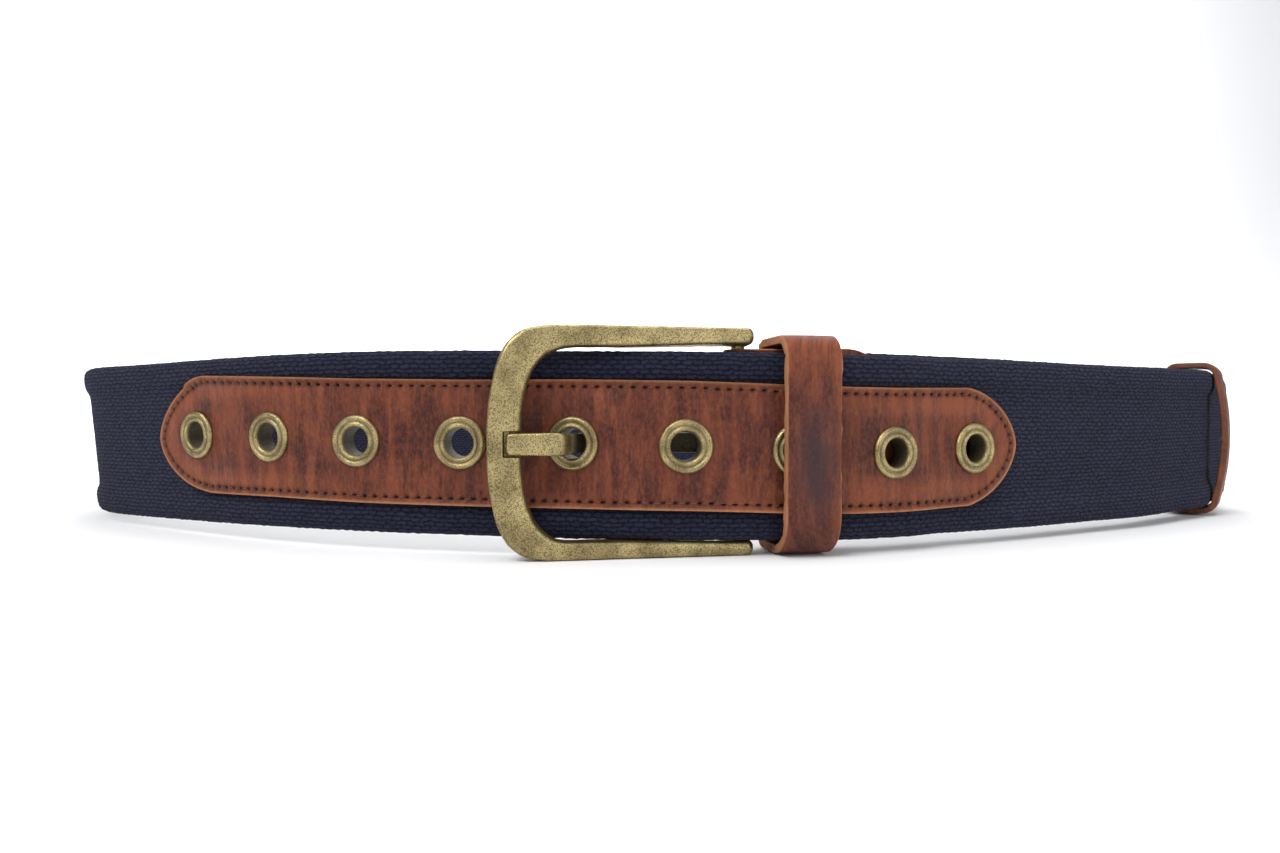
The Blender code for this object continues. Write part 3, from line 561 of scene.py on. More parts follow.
brownLeather = {
    "deep": (0.042, 0.0095, 0.007, 1.0),
    "brown": (0.088, 0.021, 0.0125, 1.0),
    "pulled": (0.21, 0.057, 0.024, 1.0),
    "rawEdge": (0.36, 0.16, 0.075, 1.0),
    # painted shade in the stitch holes
    "pit": (0.008, 0.003, 0.002, 1.0),
    "smear": (0.035, 0.02, 0.024, 1.0),
    "bumpDepth": 0.14,
}


def makeBrownLeather(spec):
    made, tree, shader = newMaterial("brownLeather")
    place = flatPlace(tree)
    grain = useGroup(tree, leatherGrain, place=place)
    colour = blendColours(tree, grain["Cloud"], spec["deep"], spec["brown"])
    # pulled-up tone lifts with creases, streaks, rubbed wear on the patch and the keepers' painted light from above
    lift = maths(tree, "MULTIPLY_ADD", grain["Crease"], 0.3, maths(tree, "MULTIPLY", mask(tree, "rubbedAndPaintedLight"), 0.6))
    lift = maths(tree, "MULTIPLY_ADD", grain["Streak"], 0.5, lift)
    colour = blendColours(tree, lift, colour, spec["pulled"])
    colour = blendColours(tree, maths(tree, "MULTIPLY", mask(tree, "smear"), 0.8), colour, spec["smear"])
    colour = blendColours(tree, maths(tree, "MULTIPLY", grain["Speck"], 0.35), colour, spec["rawEdge"])
    colour = blendColours(tree, mask(tree, "rawEdge"), colour, spec["rawEdge"])
    # stitch holes painted near-black as shade
    colour = blendColours(tree, mask(tree, "pit"), colour, spec["pit"])
    tree.links.new(colour, shader.inputs["Base Color"])
    rough = remap(tree, grain["Cloud"], 0.0, 1.0, 0.4, 0.56)
    rough = maths(tree, "MULTIPLY_ADD", mask(tree, "rawEdge"), 0.35, rough)
    tree.links.new(rough, shader.inputs["Roughness"])
    shader.inputs["Specular IOR Level"].default_value = 0.2
    addBump(tree, shader, grain["Height"], spec["bumpDepth"])
    return made


antiqueBrass = {
    "bright": (0.52, 0.418, 0.2, 1.0),
    "dull": (0.28, 0.222, 0.105, 1.0),
    "stain": (0.075, 0.055, 0.025, 1.0),
    "shadow": (0.03, 0.022, 0.013, 1.0),
    "bumpDepth": 0.07,
}


def makeAntiqueBrass(name, spec, grainScale):
    made, tree, shader = newMaterial(name)
    metal = useGroup(tree, tumbledMetal, place=solidPlace(tree), grain=grainScale)
    colour = blendColours(tree, metal["Cloud"], spec["dull"], spec["bright"])
    colour = blendColours(tree, maths(tree, "MULTIPLY", metal["Scratch"], 0.5), colour, spec["bright"])
    colour = blendColours(tree, maths(tree, "MULTIPLY", metal["Stain"], 0.8), colour, spec["stain"])
    colour = blendColours(tree, maths(tree, "MULTIPLY", mask(tree, "dark"), 0.92), colour, spec["shadow"])
    tree.links.new(colour, shader.inputs["Base Color"])
    rough = maths(tree, "MULTIPLY_ADD", mask(tree, "dark"), 0.2, remap(tree, metal["Stain"], 0.0, 1.0, 0.36, 0.6))
    tree.links.new(rough, shader.inputs["Roughness"])
    tree.links.new(maths(tree, "MULTIPLY_ADD", mask(tree, "dark"), -0.65, 1.0), shader.inputs["Metallic"])
    addBump(tree, shader, metal["Height"], spec["bumpDepth"])
    return made


cottonFinish = makeNavyCotton(navyCotton)
leatherFinish = makeBrownLeather(brownLeather)
brassFinish = makeAntiqueBrass("antiqueBrass", antiqueBrass, 1.0)
eyeletFinish = makeAntiqueBrass("eyeletBrass", antiqueBrass, 1.4)
print("finishes ready")

# Eyelets: where each lies past the prong's, and how high over the strap's middle
eyeletPlaces = {
    1: (-96.6, 1.8), 2: (-72.35, 1.15), 3: (-48.75, 0.3), 4: (-24.95, 0.15), 5: (0.0, 0.4),
    6: (22.75, 0.0), 7: (46.7, -0.55), 8: (69.3, -1.15), 9: (93.1, -0.5),
}


def eyeletSeat(number):
    past, high = eyeletPlaces[number]
    along, up, reach = strap["prong"] + past, middleUp + high, strapPlan["tiltFlat"]
    before, after, above, below = (Vector(p) for p in onStrap([
        (along - reach, 0, up), (along + reach, 0, up), (along, 0, up + 1), (along, 0, up - 1)]))
    ahead = after - before
    out = ahead.cross(above - below).normalized()
    ahead.normalize()
    turn = Matrix((ahead, out.cross(ahead), out)).transposed().to_4x4()
    return Matrix.Translation((before + after) / 2) @ turn @ Matrix.Scale(mm, 4)


def eyeletHoles(radius, reach):
    # nine cutting bars in the flat layout
    bars = []
    for past, high in eyeletPlaces.values():
        clearSelection()
        bpy.ops.mesh.primitive_cylinder_add(
            vertices=32, radius=radius, depth=2 * reach, rotation=(math.pi / 2, 0, 0),
            location=(strap["prong"] + past, 0, middleUp + high),
        )
        bars.append(bpy.context.object)
    for bar in bars:
        bar.select_set(True)
    applyPlace()
    bpy.ops.object.join()
    return bpy.context.object


webMake = {
    "section": (  # height above the strap's edge, half thickness
        (0.0, 0.0), (0.06, 0.55), (0.3, 1.1), (0.8, 1.55), (1.6, 1.87), (2.6, 2.02), (3.8, 2.07), (5.0, 1.98),
        (5.9, 1.75), (6.6, 1.42), (7.3, 1.12), (8.2, 1.0), (20.0, 1.0),
    ),
    "rowPitch": 1.0,
    "loopProud": 0.14,
    "uneven": 0.45,
    "splitAt": 610.0,
    "holeRadius": 3.9,
    "seed": 4,
}


def webSection(spec):
    # evenly spread points round the section, two for each row of loops, with their outward normals
    heights, halves = zip(*spec["section"])
    up = np.concatenate([heights, strapPlan["width"] - np.array(heights[-2::-1])])
    half = np.concatenate([halves, halves[-2::-1]])
    line = np.column_stack([np.concatenate([half, -half[-2:0:-1]]), np.concatenate([up, up[-2:0:-1]])])
    line = np.vstack([line, line[:1]])
    fineAt = np.concatenate([[0.0], np.cumsum(np.linalg.norm(np.diff(line, axis=0), axis=1))])
    rows = int(round(fineAt[-1] / spec["rowPitch"] / 2)) * 2
    at = np.linspace(0.0, fineAt[-1], 2 * rows, endpoint=False)
    points = np.column_stack([np.interp(at, fineAt, line[:, k]) for k in (0, 1)])
    ahead = np.roll(points, -1, axis=0) - np.roll(points, 1, axis=0)
    ahead /= np.linalg.norm(ahead, axis=1)[:, None]
    return points, np.column_stack([ahead[:, 1], -ahead[:, 0]])


def makeWebRun(name, spec, firstAt, lastAt):
    section, normals = webSection(spec)
    around = len(section)
    pitch = strap["length"] / round(strap["length"] / (navyCotton["loopLength"] / 2))
    columns = np.arange(round(firstAt / pitch), round(lastAt / pitch) + 1)
    alongs = columns * pitch
    rows = np.arange(around) // 2
    onRidge = np.arange(around) % 2 == 1
    onLoop = (columns[:, None] + rows[None, :]) % 2 == 0
    chance = np.random.RandomState(spec["seed"] + int(firstAt))
    proud = np.where(onRidge[None, :], np.where(onLoop, 1.0, 0.4), 0.0)
    proud = (proud + chance.uniform(-spec["uneven"], spec["uneven"], proud.shape)) * spec["loopProud"]
    if lastAt >= strap["length"]:
        proud[-1] -= 0.35
    outUp = section[None, :, :] + normals[None, :, :] * proud[:, :, None]
    rings = np.concatenate([np.broadcast_to(alongs[:, None, None], (*outUp.shape[:2], 1)), outUp], axis=2)
    web = sweptShell(name, rings, alongs, np.arange(around + 1) / 2.0)
    if lastAt > strap["prong"]:
        carve(web, eyeletHoles(spec["holeRadius"], 3.0))
    setCoords(web, onStrap(roundedTip(coords(web))))
    return finishPiece(web, cottonFinish, ("web_strap",), 80.0)


makeWebRun("web_strap_back", webMake, 0.0, webMake["splitAt"])
makeWebRun("web_strap_front", webMake, webMake["splitAt"], strap["length"])
print("web ready")


patchMake = {
    "thick": 1.6,
    "rows": (  # distance from the prong's eyelet, height of the middle, width
        (-112.0, 0.6, 28.4), (-95.0, 1.8, 28.4), (-71.0, 1.05, 27.6), (-48.0, 0.3, 27.2), (-24.0, 0.1, 27.0),
        (0.0, 0.3, 27.2), (24.0, 0.1, 27.2), (47.0, -0.4, 27.1), (70.0, -0.5, 27.0), (93.0, -0.1, 27.0),
        (108.0, 0.2, 27.0),
    ),
    "reach": (-111.3, 106.1),
    "endLengths": (20.0, 16.0),
    "endPower": 1.72,
    "stitchInset": 1.45,
    "besideGroove": 0.4,
    "stitchPitch": 2.45,
    "pointsPerStitch": 8,
    "holeDepth": 0.65,
    "sliceStep": 2.6,
    "seed": 11,
}


def patchOutline(spec):
    # closed outline in the flat layout, its points evenly spread, eight to a stitch
    ends = []
    for reach, length, way in zip(spec["reach"], spec["endLengths"], (-1, 1)):
        along = np.sin(np.radians(np.linspace(90.0, 0.0, 90)))
        share = (1.0 - along ** spec["endPower"]) ** (1.0 / spec["endPower"])
        ends.append((reach - way * length * (1.0 - along), share))
    plain = np.arange(spec["reach"][0] + spec["endLengths"][0] + 1.0, spec["reach"][1] - spec["endLengths"][1], 1.0)
    distance = np.concatenate([ends[0][0], plain, ends[1][0][::-1]])
    share = np.concatenate([ends[0][1], np.ones(len(plain)), ends[1][1][::-1]])
    places, above, widths = zip(*spec["rows"])
    rise, half = np.interp(distance, places, above), np.interp(distance, places, widths) / 2 * share
    lower = np.column_stack([distance, middleUp + rise - half])
    upper = np.column_stack([distance, middleUp + rise + half])
    line = np.vstack([lower, upper[-2::-1]])
    at = np.concatenate([[0.0], np.cumsum(np.linalg.norm(np.diff(line, axis=0), axis=1))])
    stitches = int(round((at[-1] - 2 * math.pi * spec["stitchInset"]) / spec["stitchPitch"]))
    even = np.linspace(0.0, at[-1], stitches * spec["pointsPerStitch"], endpoint=False)
    outline = np.column_stack([np.interp(even, at, line[:, k]) for k in (0, 1)])
    outline[:, 0] += strap["prong"]
    return outline


def patchSeat(up):
    # the face that the patch lies on climbs the thick edge bands
    climb = np.clip((np.abs(up - middleUp) - coreHalf) / strapPlan["bandSlope"], 0.0, 1.0)
    return strapPlan["coreThick"] / 2 + (strapPlan["bandThick"] - strapPlan["coreThick"]) / 2 * climb


def insetFromEdge(places, outline):
    # for each place: how far inside the outline it is, and which outline point is nearest
    gaps = np.linalg.norm(places[:, None, :] - outline[None, :, :], axis=2)
    return gaps.min(axis=1), gaps.argmin(axis=1)


def inwardLine(outline, inset):
    ahead = np.roll(outline, -1, axis=0) - np.roll(outline, 1, axis=0)
    ahead /= np.linalg.norm(ahead, axis=1)[:, None]
    return outline + np.column_stack([-ahead[:, 1], ahead[:, 0]]) * inset


def makePatch(spec):
    outline = patchOutline(spec)
    count = len(outline)
    clearSelection()
    bpy.ops.mesh.primitive_circle_add(vertices=count, radius=1.0, fill_type="NGON")
    patch = bpy.context.object
    patch.name = "eyelet_patch_leather"
    setCoords(patch, np.column_stack([outline[:, 0], np.zeros(count), outline[:, 1]]))
    editAll()
    bpy.ops.mesh.extrude_region_move(TRANSFORM_OT_translate={"value": (0.0, spec["thick"], 0.0)})
    # rounded cut edge, then the stitched groove, then the open middle; each inset also sets its own level
    for inset, depth in ((0.12, 0.1), (0.21, 0.08), (0.32, 0.03), (0.4, -0.03), (0.4, -0.1), (0.4, 0.1),
                         (0.55, 0.04)):
        bpy.ops.mesh.inset(thickness=inset, depth=depth, use_even_offset=False)
    leaveEdit()
    points = coords(patch)
    points[:, 1] -= points[:, 1].max() - spec["thick"]
    points[points[:, 1] < -0.001, 1] = 0.0
    setCoords(patch, points)
    carve(patch, eyeletHoles(3.9, 3.0))
    bpy.ops.object.mode_set(mode="EDIT")
    for at in np.arange(outline[:, 0].min() + 1.3, outline[:, 0].max(), spec["sliceStep"]):
        sliceAt((at, 0.0, 0.0), (1.0, 0.0, 0.0))
    for up in np.arange(middleUp - 12.0, middleUp + 12.5, 3.0):
        sliceAt((0.0, 0.0, up), (0.0, 0.0, 1.0))
    faceOutwards()
    leaveEdit()
    points = coords(patch)
    gap, nearest = insetFromEdge(points[:, (0, 2)], outline)
    front = points[:, 1] > spec["thick"] * 0.5
    phase = nearest % spec["pointsPerStitch"]
    phase = np.minimum(phase, spec["pointsPerStitch"] - phase)
    inGroove = front & (np.abs(gap - spec["stitchInset"]) < 0.15)
    beside = front & (np.abs(np.abs(gap - spec["stitchInset"]) - spec["besideGroove"]) < 0.15)
    pit = np.where(inGroove, np.interp(phase, (0, 1, 2, 3), (1.0, 1.0, 0.45, 0.0)), 0.0)
    pit += np.where(beside, np.interp(phase, (0, 1, 2), (0.5, 0.35, 0.0)), 0.0)
    points[:, 1] -= pit * np.where(inGroove, spec["holeDepth"], spec["holeDepth"] * 0.4)
    ripple = np.array([noise.noise((x * 0.25, z * 0.25, 3.0)) for x, _, z in points])
    points[:, 1] += np.where(front & (gap > 0.3), ripple * 0.08, 0.0)
    edgeNoise = np.array([noise.noise((x * 0.9, z * 0.9, 7.0)) for x, _, z in points])
    cutEdge = np.where(gap < 0.2, 1.0, np.where(gap < 0.5, 0.45, 0.0))
    addMask(patch, "rawEdge", cutEdge * (0.85 + 0.3 * edgeNoise))
    # the stitch-hole depth also darkens the leather there as painted shade
    addMask(patch, "pit", pit)
    towardsEnd = ramp(np.abs(points[:, 0] - strap["prong"]), 35.0, 90.0)
    rubbedAndPaintedLight = np.exp(-((gap - 1.0) / 0.9) ** 2) * 0.5 + ramp(gap, 2.0, 2.6) * (1 - ramp(gap, 4.6, 6.2)) * towardsEnd
    addMask(patch, "rubbedAndPaintedLight", np.where(front, rubbedAndPaintedLight, 0.0))
    setFlatMap(patch, np.column_stack([points[:, 0], points[:, 2] + (spec["thick"] - points[:, 1])]))
    points[:, 1] += patchSeat(points[:, 2]) + strapPlan["gap"]
    setCoords(patch, onStrap(points))
    return finishPiece(patch, leatherFinish, ("eyelet_patch",), 50.0), outline


patch, patchLine = makePatch(patchMake)
print("patch ready")


def copiesOf(name, template, placings):
    # one mesh of many copies of a small shape, each placed by its own function
    base = coords(template)
    faces = [tuple(face.vertices) for face in template.data.polygons]
    points, allFaces = [], []
    for placing in placings:
        start = len(points)
        points.extend(placing(base))
        allFaces += [tuple(start + k for k in face) for face in faces]
    mesh = bpy.data.meshes.new(name)
    mesh.from_pydata([tuple(p) for p in points], [], allFaces)
    made = bpy.data.objects.new(name, mesh)
    bpy.context.collection.objects.link(made)
    bpy.data.objects.remove(template)
    return made


stitchMake = {"radius": 0.21, "length": 1.7, "arch": 0.4, "sides": 6}


def makeStitch(spec):
    # a short thread: a capsule along X, its ends bowed down
    bpy.ops.mesh.primitive_cylinder_add(vertices=spec["sides"], radius=spec["radius"], depth=spec["length"],
                                        end_fill_type="NGON", rotation=(0.0, math.pi / 2, 0.0))
    stitch = bpy.context.object
    applyPlace()
    bpy.ops.object.mode_set(mode="EDIT")
    for at in (-0.36, -0.18, 0.0, 0.18, 0.36):
        sliceAt((at * spec["length"], 0.0, 0.0), (1.0, 0.0, 0.0))
    leaveEdit()
    points = coords(stitch)
    share = np.abs(points[:, 0]) / (spec["length"] / 2)
    points[:, 1:] *= (1.0 - 0.35 * share ** 4)[:, None]
    points[:, 1] -= spec["arch"] * 1.6 * share ** 2.5
    setCoords(stitch, points)
    return stitch


def stitchPlacing(start, end, level, seat):
    middle, step = (start + end) / 2, end - start
    ahead = step / np.linalg.norm(step)

    def placing(base):
        flat = np.zeros_like(base)
        flat[:, 0] = middle[0] + base[:, 0] * ahead[0] - base[:, 2] * ahead[1]
        flat[:, 2] = middle[1] + base[:, 0] * ahead[1] + base[:, 2] * ahead[0]
        flat[:, 1] = base[:, 1] + level + seat(flat[:, 2])
        return onStrap(flat)

    return placing


def makePatchStitches():
    step = patchMake["pointsPerStitch"]
    holes = inwardLine(patchLine, patchMake["stitchInset"])[::step]
    level = patchMake["thick"] + strapPlan["gap"] - 0.08
    placings = [stitchPlacing(holes[i], holes[(i + 1) % len(holes)], level, patchSeat) for i in range(len(holes))]
    stitches = copiesOf("patch_stitching", makeStitch(stitchMake), placings)
    flat = coords(stitches) / mm
    setFlatMap(stitches, flat[:, (0, 2)])
    return finishPiece(stitches, threadFinish, (), 70.0)


def makeThreadFinish():
    made, tree, shader = newMaterial("brownThread")
    place = solidPlace(tree)
    colour = blendColours(tree, grainNoise(tree, place, 2.5, 3.0, 0.7), (0.05, 0.013, 0.007, 1.0),
                          (0.17, 0.05, 0.022, 1.0))
    tree.links.new(colour, shader.inputs["Base Color"])
    shader.inputs["Roughness"].default_value = 0.7
    addBump(tree, shader, grainNoise(tree, place, 3.0, 2.0, 0.6, (3.0, 1.0, 1.0)), 0.08)
    return made


threadFinish = makeThreadFinish()
makePatchStitches()
print("stitches ready")


eyeletMake = {
    "profile": (  # radius, height above the patch
        (3.12, -4.25), (3.12, -0.9), (3.14, -0.2), (3.2, 0.25), (3.36, 0.58), (3.6, 0.76), (3.88, 0.75),
        (4.1, 0.6), (4.28, 0.42), (4.48, 0.4), (4.7, 0.54), (4.96, 0.7), (5.24, 0.7), (5.52, 0.54),
        (5.74, 0.26), (5.8, -0.04), (5.7, -0.24), (5.4, -0.3), (3.5, -0.3), (3.5, -3.8), (5.0, -3.85),
        (5.2, -4.05), (5.0, -4.3), (4.2, -4.45), (3.5, -4.42),
    ),
    "steps": 56,
    "darkBelow": (0.75, -0.15),
}


def makeEyelet(number, spec):
    profile = spec["profile"]
    clearSelection()
    bpy.ops.mesh.primitive_circle_add(vertices=len(profile), radius=1.0, fill_type="NOTHING")
    eyelet = bpy.context.object
    eyelet.name = f"turned_eyelet_{number}"
    face = strapPlan["coreThick"] / 2 + strapPlan["gap"] + patchMake["thick"]
    setCoords(eyelet, [(radius, 0.0, height + face) for radius, height in profile])
    editAll()
    bpy.ops.mesh.spin(steps=spec["steps"], angle=2 * math.pi, center=(0, 0, 0), axis=(0, 0, 1))
    bpy.ops.mesh.select_all(action="SELECT")
    bpy.ops.mesh.remove_doubles(threshold=0.001)
    bpy.ops.mesh.normals_make_consistent(inside=False)
    leaveEdit()
    points = coords(eyelet)
    radii = np.hypot(points[:, 0], points[:, 1])
    # painted shade: the eyelet's bore and groove are darkened
    inside = 1.0 - ramp(radii, 3.3, 3.75)
    groove = np.exp(-((radii - 4.38) / 0.2) ** 2) * 0.7
    addMask(eyelet, "dark", np.maximum(inside * ramp(points[:, 2] - face, *spec["darkBelow"]), groove))
    eyelet.data.transform(eyeletSeat(number))
    return finishPiece(eyelet, eyeletFinish, (f"eyelet_{number}",), 60.0)


for number in eyeletPlaces:
    makeEyelet(number, eyeletMake)
print("eyelets ready")


frameMake = {
    # outer x, outer height, inner x, inner height, from the middle of the front bar
    "upper": (
        (-19.2, 0.0, -12.2, 0.0), (-19.1, 4.8, -12.1, 4.4), (-18.7, 9.4, -11.7, 8.6), (-17.9, 13.7, -10.9, 12.4),
        (-16.8, 17.6, -9.6, 15.6), (-14.9, 21.1, -7.7, 17.9), (-12.0, 23.5, -5.1, 19.4), (-8.2, 24.5, -1.8, 20.1),
        (-3.2, 24.8, 3.0, 20.25), (12.0, 24.8, 12.0, 20.35), (25.0, 24.75, 25.0, 20.8), (36.1, 24.7, 36.1, 21.0),
    ),
    "lower": (
        (-19.1, 4.8, -12.1, 4.4), (-18.7, 9.4, -11.7, 8.6), (-17.9, 13.7, -10.9, 12.4), (-16.8, 17.5, -9.6, 15.6),
        (-14.9, 20.8, -7.7, 18.2), (-12.0, 23.1, -5.1, 20.0), (-8.2, 24.1, -1.8, 20.4), (-3.2, 24.3, 3.0, 20.45),
        (12.0, 24.3, 12.0, 20.6), (25.0, 24.3, 25.0, 20.8), (36.1, 24.3, 36.1, 21.0),
    ),
    "armEnd": 1.3,
    "armGap": 41.4,
    "armHeight": 3.6,
    "low": -0.3,
    "frontY": -6.6,
    "slope": 0.16,
    "frontThick": 4.3,
    "armThickGain": 2.6,
    "round": 1.25,
    "crown": 0.1,
    "ringSpacing": 0.9,
    "heelBar": (34.8, 8.1),
    "heelBarRadius": 1.5,
    "notchX": (-15.8, -9.0),
    "notchHalfHeight": 2.75,
    "notchFloor": -3.8,
    "dent": 0.05,
}
frameMiddle = strapPlan["frontLift"] + frameMake["low"] + frameMake["armGap"] / 2


def smoothRows(rows, spacing):
    # Catmull-Rom through the rows of a table, spread by the length of the first two columns
    rows = np.array(rows, dtype=float)
    padded = np.vstack([2 * rows[0] - rows[1], rows, 2 * rows[-1] - rows[-2]])
    fine = [rows[0]]
    for i in range(1, len(padded) - 2):
        p, a, b, n = padded[i - 1:i + 3]
        steps = max(1, int(math.ceil(np.linalg.norm((b - a)[:2]) / spacing)))
        for k in range(1, steps + 1):
            t = k / steps
            fine.append(0.5 * (2 * a + (b - p) * t + (2 * p - 5 * a + 4 * b - n) * t * t
                               + (3 * a - p - 3 * b + n) * t ** 3))
    return np.array(fine)


def roundedBar(width, depth, radius, crown, inset=0.0):
    # points round a bar's section: share of the way across and into it, both in millimetres
    width, depth = width - 2 * inset, depth - 2 * inset
    radius = min(radius, width * 0.48, depth * 0.48)
    corners = ((width - radius, radius, -90.0), (width - radius, depth - radius, 0.0),
               (radius, depth - radius, 90.0), (radius, radius, 180.0))
    points = []
    for cx, cy, start in corners:
        for turn in np.radians(start + np.linspace(0.0, 90.0, 5)):
            points.append((cx + radius * math.cos(turn), cy + radius * math.sin(turn)))
        if start in (-90.0, 90.0):
            continue
        for share in (0.25, 0.5, 0.75):
            side = depth if start == 0.0 else 0.0
            run = (width - 2 * radius) * share
            x = width - radius - run if start == 0.0 else radius + run
            bulge = crown * 4 * share * (1 - share)
            points.append((x, side + bulge if start == 0.0 else side - bulge))
    return np.array(points) + inset


def makeFrame(spec):
    half, lower = np.array(spec["upper"]), np.array(spec["lower"])[::-1] * (1, -1, 1, -1)
    rows = smoothRows(np.vstack([lower, half]), spec["ringSpacing"])
    firstTip, lastTip = rows[0].copy(), rows[-1].copy()
    insets = [0.0] * len(rows)
    steps = ((0.35, 0.04), (0.75, 0.2), (1.05, 0.5), (spec["armEnd"], 0.95))
    for ahead, inset in steps:
        shift = np.array((ahead, 0.0, ahead, 0.0))
        rows = np.vstack([firstTip + shift, rows, lastTip + shift])
        insets = [inset] + insets + [inset]
    run = half[-1, 0] - half[0, 0]
    rings = []
    for (ox, oz, ix, iz), inset in zip(rows, insets):
        outer, inner = np.array((ox, oz)), np.array((ix, iz))
        width = np.linalg.norm(inner - outer)
        across = (inner - outer) / width
        ring = []
        thick = spec["frontThick"] + spec["armThickGain"] * np.clip((ox - half[0, 0]) / run, 0, 1)
        for s, d in roundedBar(width, thick, spec["round"], spec["crown"], inset):
            x, z = outer + across * s
            front = spec["frontY"] + spec["slope"] * (x - half[0, 0])
            ring.append((x, front + d, z + frameMiddle))
        rings.append(ring)
    buckle = sweptShell("buckle_frame_cast", rings)
    points = coords(buckle)
    dents = noiseAt(points, 0.35) + 0.5 * noiseAt(points, 0.9)
    setCoords(buckle, points * (1.0, 1.0, 1.0) + dents[:, None] * spec["dent"])
    clearSelection()
    bpy.ops.mesh.primitive_cylinder_add(vertices=32, radius=spec["heelBarRadius"],
                                        depth=spec["armGap"] + spec["armHeight"],
                                        location=(*spec["heelBar"], frameMiddle))
    bar = bpy.context.object
    applyPlace()
    carve(buckle, bar, "UNION")
    x0, x1 = spec["notchX"]
    y0, y1 = spec["frontY"] - 2.0, spec["notchFloor"]
    notch = cuttingBox(((x0 + x1) / 2, (y0 + y1) / 2, frameMiddle), (x1 - x0, y1 - y0, 2 * spec["notchHalfHeight"]))
    soften = notch.modifiers.new("soften", "BEVEL")
    soften.width = 0.35
    soften.segments = 2
    applyModifiers(notch)
    carve(buckle, notch)
    setCoords(buckle, (coords(buckle) + (*planShift, 0.0)) * mm)
    return finishPiece(buckle, brassFinish, ("buckle_frame",), 38.0)


makeFrame(frameMake)


prongMake = {
    "rows": (  # front x, front y, back x, back y, width
        (-14.2, -6.2, -14.2, -4.1, 4.45), (-10.0, -6.2, -10.6, -4.1, 4.6), (-5.2, -6.2, -6.9, -4.1, 4.7),
        (-3.5, -5.8, -5.4, -3.3, 4.6), (-2.6, -4.6, -4.4, -2.3, 4.3), (-1.3, -1.6, -3.1, -0.9, 4.2),
        (1.6, 2.7, -0.3, 3.6, 4.2), (2.8, 3.9, 1.2, 5.4, 4.2), (4.5, 4.5, 3.2, 6.25, 4.2),
        (7.0, 4.65, 6.4, 6.45, 4.2), (20.0, 4.6, 20.0, 6.4, 4.3), (29.5, 4.6, 29.5, 6.3, 4.4),
    ),
    "tip": (  # x, front y, back y, width
        (-15.15, -5.55, -4.75, 2.5), (-15.07, -5.85, -4.45, 3.2), (-14.9, -6.05, -4.25, 3.8),
        (-14.6, -6.15, -4.15, 4.2),
    ),
    "eyeThick": 1.6,
    "eyeTurn": (-90.0, 205.0),
    "round": 0.5,
    "ringSpacing": 0.7,
    "dent": 0.035,
}


def makeProng(spec):
    shaft = smoothRows(spec["rows"], spec["ringSpacing"])
    tip = [(x, front, x, back, width) for x, front, back, width in spec["tip"]]
    inner = frameMake["heelBarRadius"] + strapPlan["gap"]
    outer = inner + spec["eyeThick"]
    eye = []
    for turn in np.radians(np.linspace(*spec["eyeTurn"], 30)):
        bx, by = frameMake["heelBar"]
        eye.append((bx + outer * math.cos(turn), by + outer * math.sin(turn),
                    bx + inner * math.cos(turn), by + inner * math.sin(turn), spec["rows"][-1][4]))
    rings = []
    for fx, fy, bx, by, width in np.vstack([tip, shaft, eye]):
        depth = math.hypot(bx - fx, by - fy)
        ring = []
        for s, d in roundedBar(width, depth, spec["round"], 0.04):
            share = d / depth
            ring.append((fx + (bx - fx) * share, fy + (by - fy) * share, frameMiddle - width / 2 + s))
        rings.append(ring)
    prong = sweptShell("buckle_prong_flat", rings)
    points = coords(prong)
    points[:, 1] += noiseAt(points, 0.5, (9, 2, 5)) * spec["dent"]
    # painted shade: the shaft behind the patch face, inside the eyelet, is darkened
    addMask(prong, "dark", ramp(points[:, 1], -3.6, -0.6) * (points[:, 1] < 5.6) * (points[:, 0] < 28.0))
    setCoords(prong, (points + (*planShift, 0.0)) * mm)
    return finishPiece(prong, brassFinish, ("buckle_prong",), 38.0)


makeProng(prongMake)
print("buckle ready")


keeperMake = {
    "width": 12.0,
    "rearRound": 1.3,
    "cornerSteps": 8,
    "edgeRound": 0.45,
    "rough": 0.4,
    "seed": 5,
}
buckleKeeperMake = {
    "node": "buckle_keeper",
    "thick": 1.9,
    "inside": (-1.2, 42.0),
    "frontRounds": (6.4, 3.4),
    "bow": 0.0,
    "turnDeg": 0.0,
    "paleEdge": 0.9,
    "smear": (0.6, 4.0, 17.0, 11.0),  # middle and half size, across and up
}
endKeeperMake = {
    "node": "end_keeper",
    "thick": 1.6,
    "inside": (-0.7, 40.9),
    "frontRounds": (2.6, 2.8),
    "bow": 2.0,
    "turnDeg": 3.0,
    "paleEdge": 0.2,
    "smear": (0.0, 9.0, 46.0, 16.0),
}


def keeperLine(front, rear, shape):
    # inner outline in out and up, anticlockwise
    low, high = shape["inside"]
    lowRound, highRound = shape["frontRounds"]
    back = keeperMake["rearRound"]
    corners = ((front - highRound, high - highRound, highRound, 0.0), (rear + back, high - back, back, 90.0),
               (rear + back, low + back, back, 180.0), (front - lowRound, low + lowRound, lowRound, 270.0))
    line = []
    for index, (out, up, radius, start) in enumerate(corners):
        for turn in np.radians(start + np.linspace(0.0, 90.0, keeperMake["cornerSteps"] + 1)):
            line.append((out + radius * math.cos(turn), up + radius * math.sin(turn)))
        if index == 1:
            line += [(rear, up) for up in np.linspace(high - back, low + back, 12)[1:-1]]
    middle = (low + lowRound + high - highRound) / 2
    straight = middle - low - lowRound
    line += [(front + shape["bow"] * (1.0 - share ** 2), middle + share * straight)
             for share in np.linspace(-1.0, 1.0, 17)[1:-1]]
    return np.array(line)


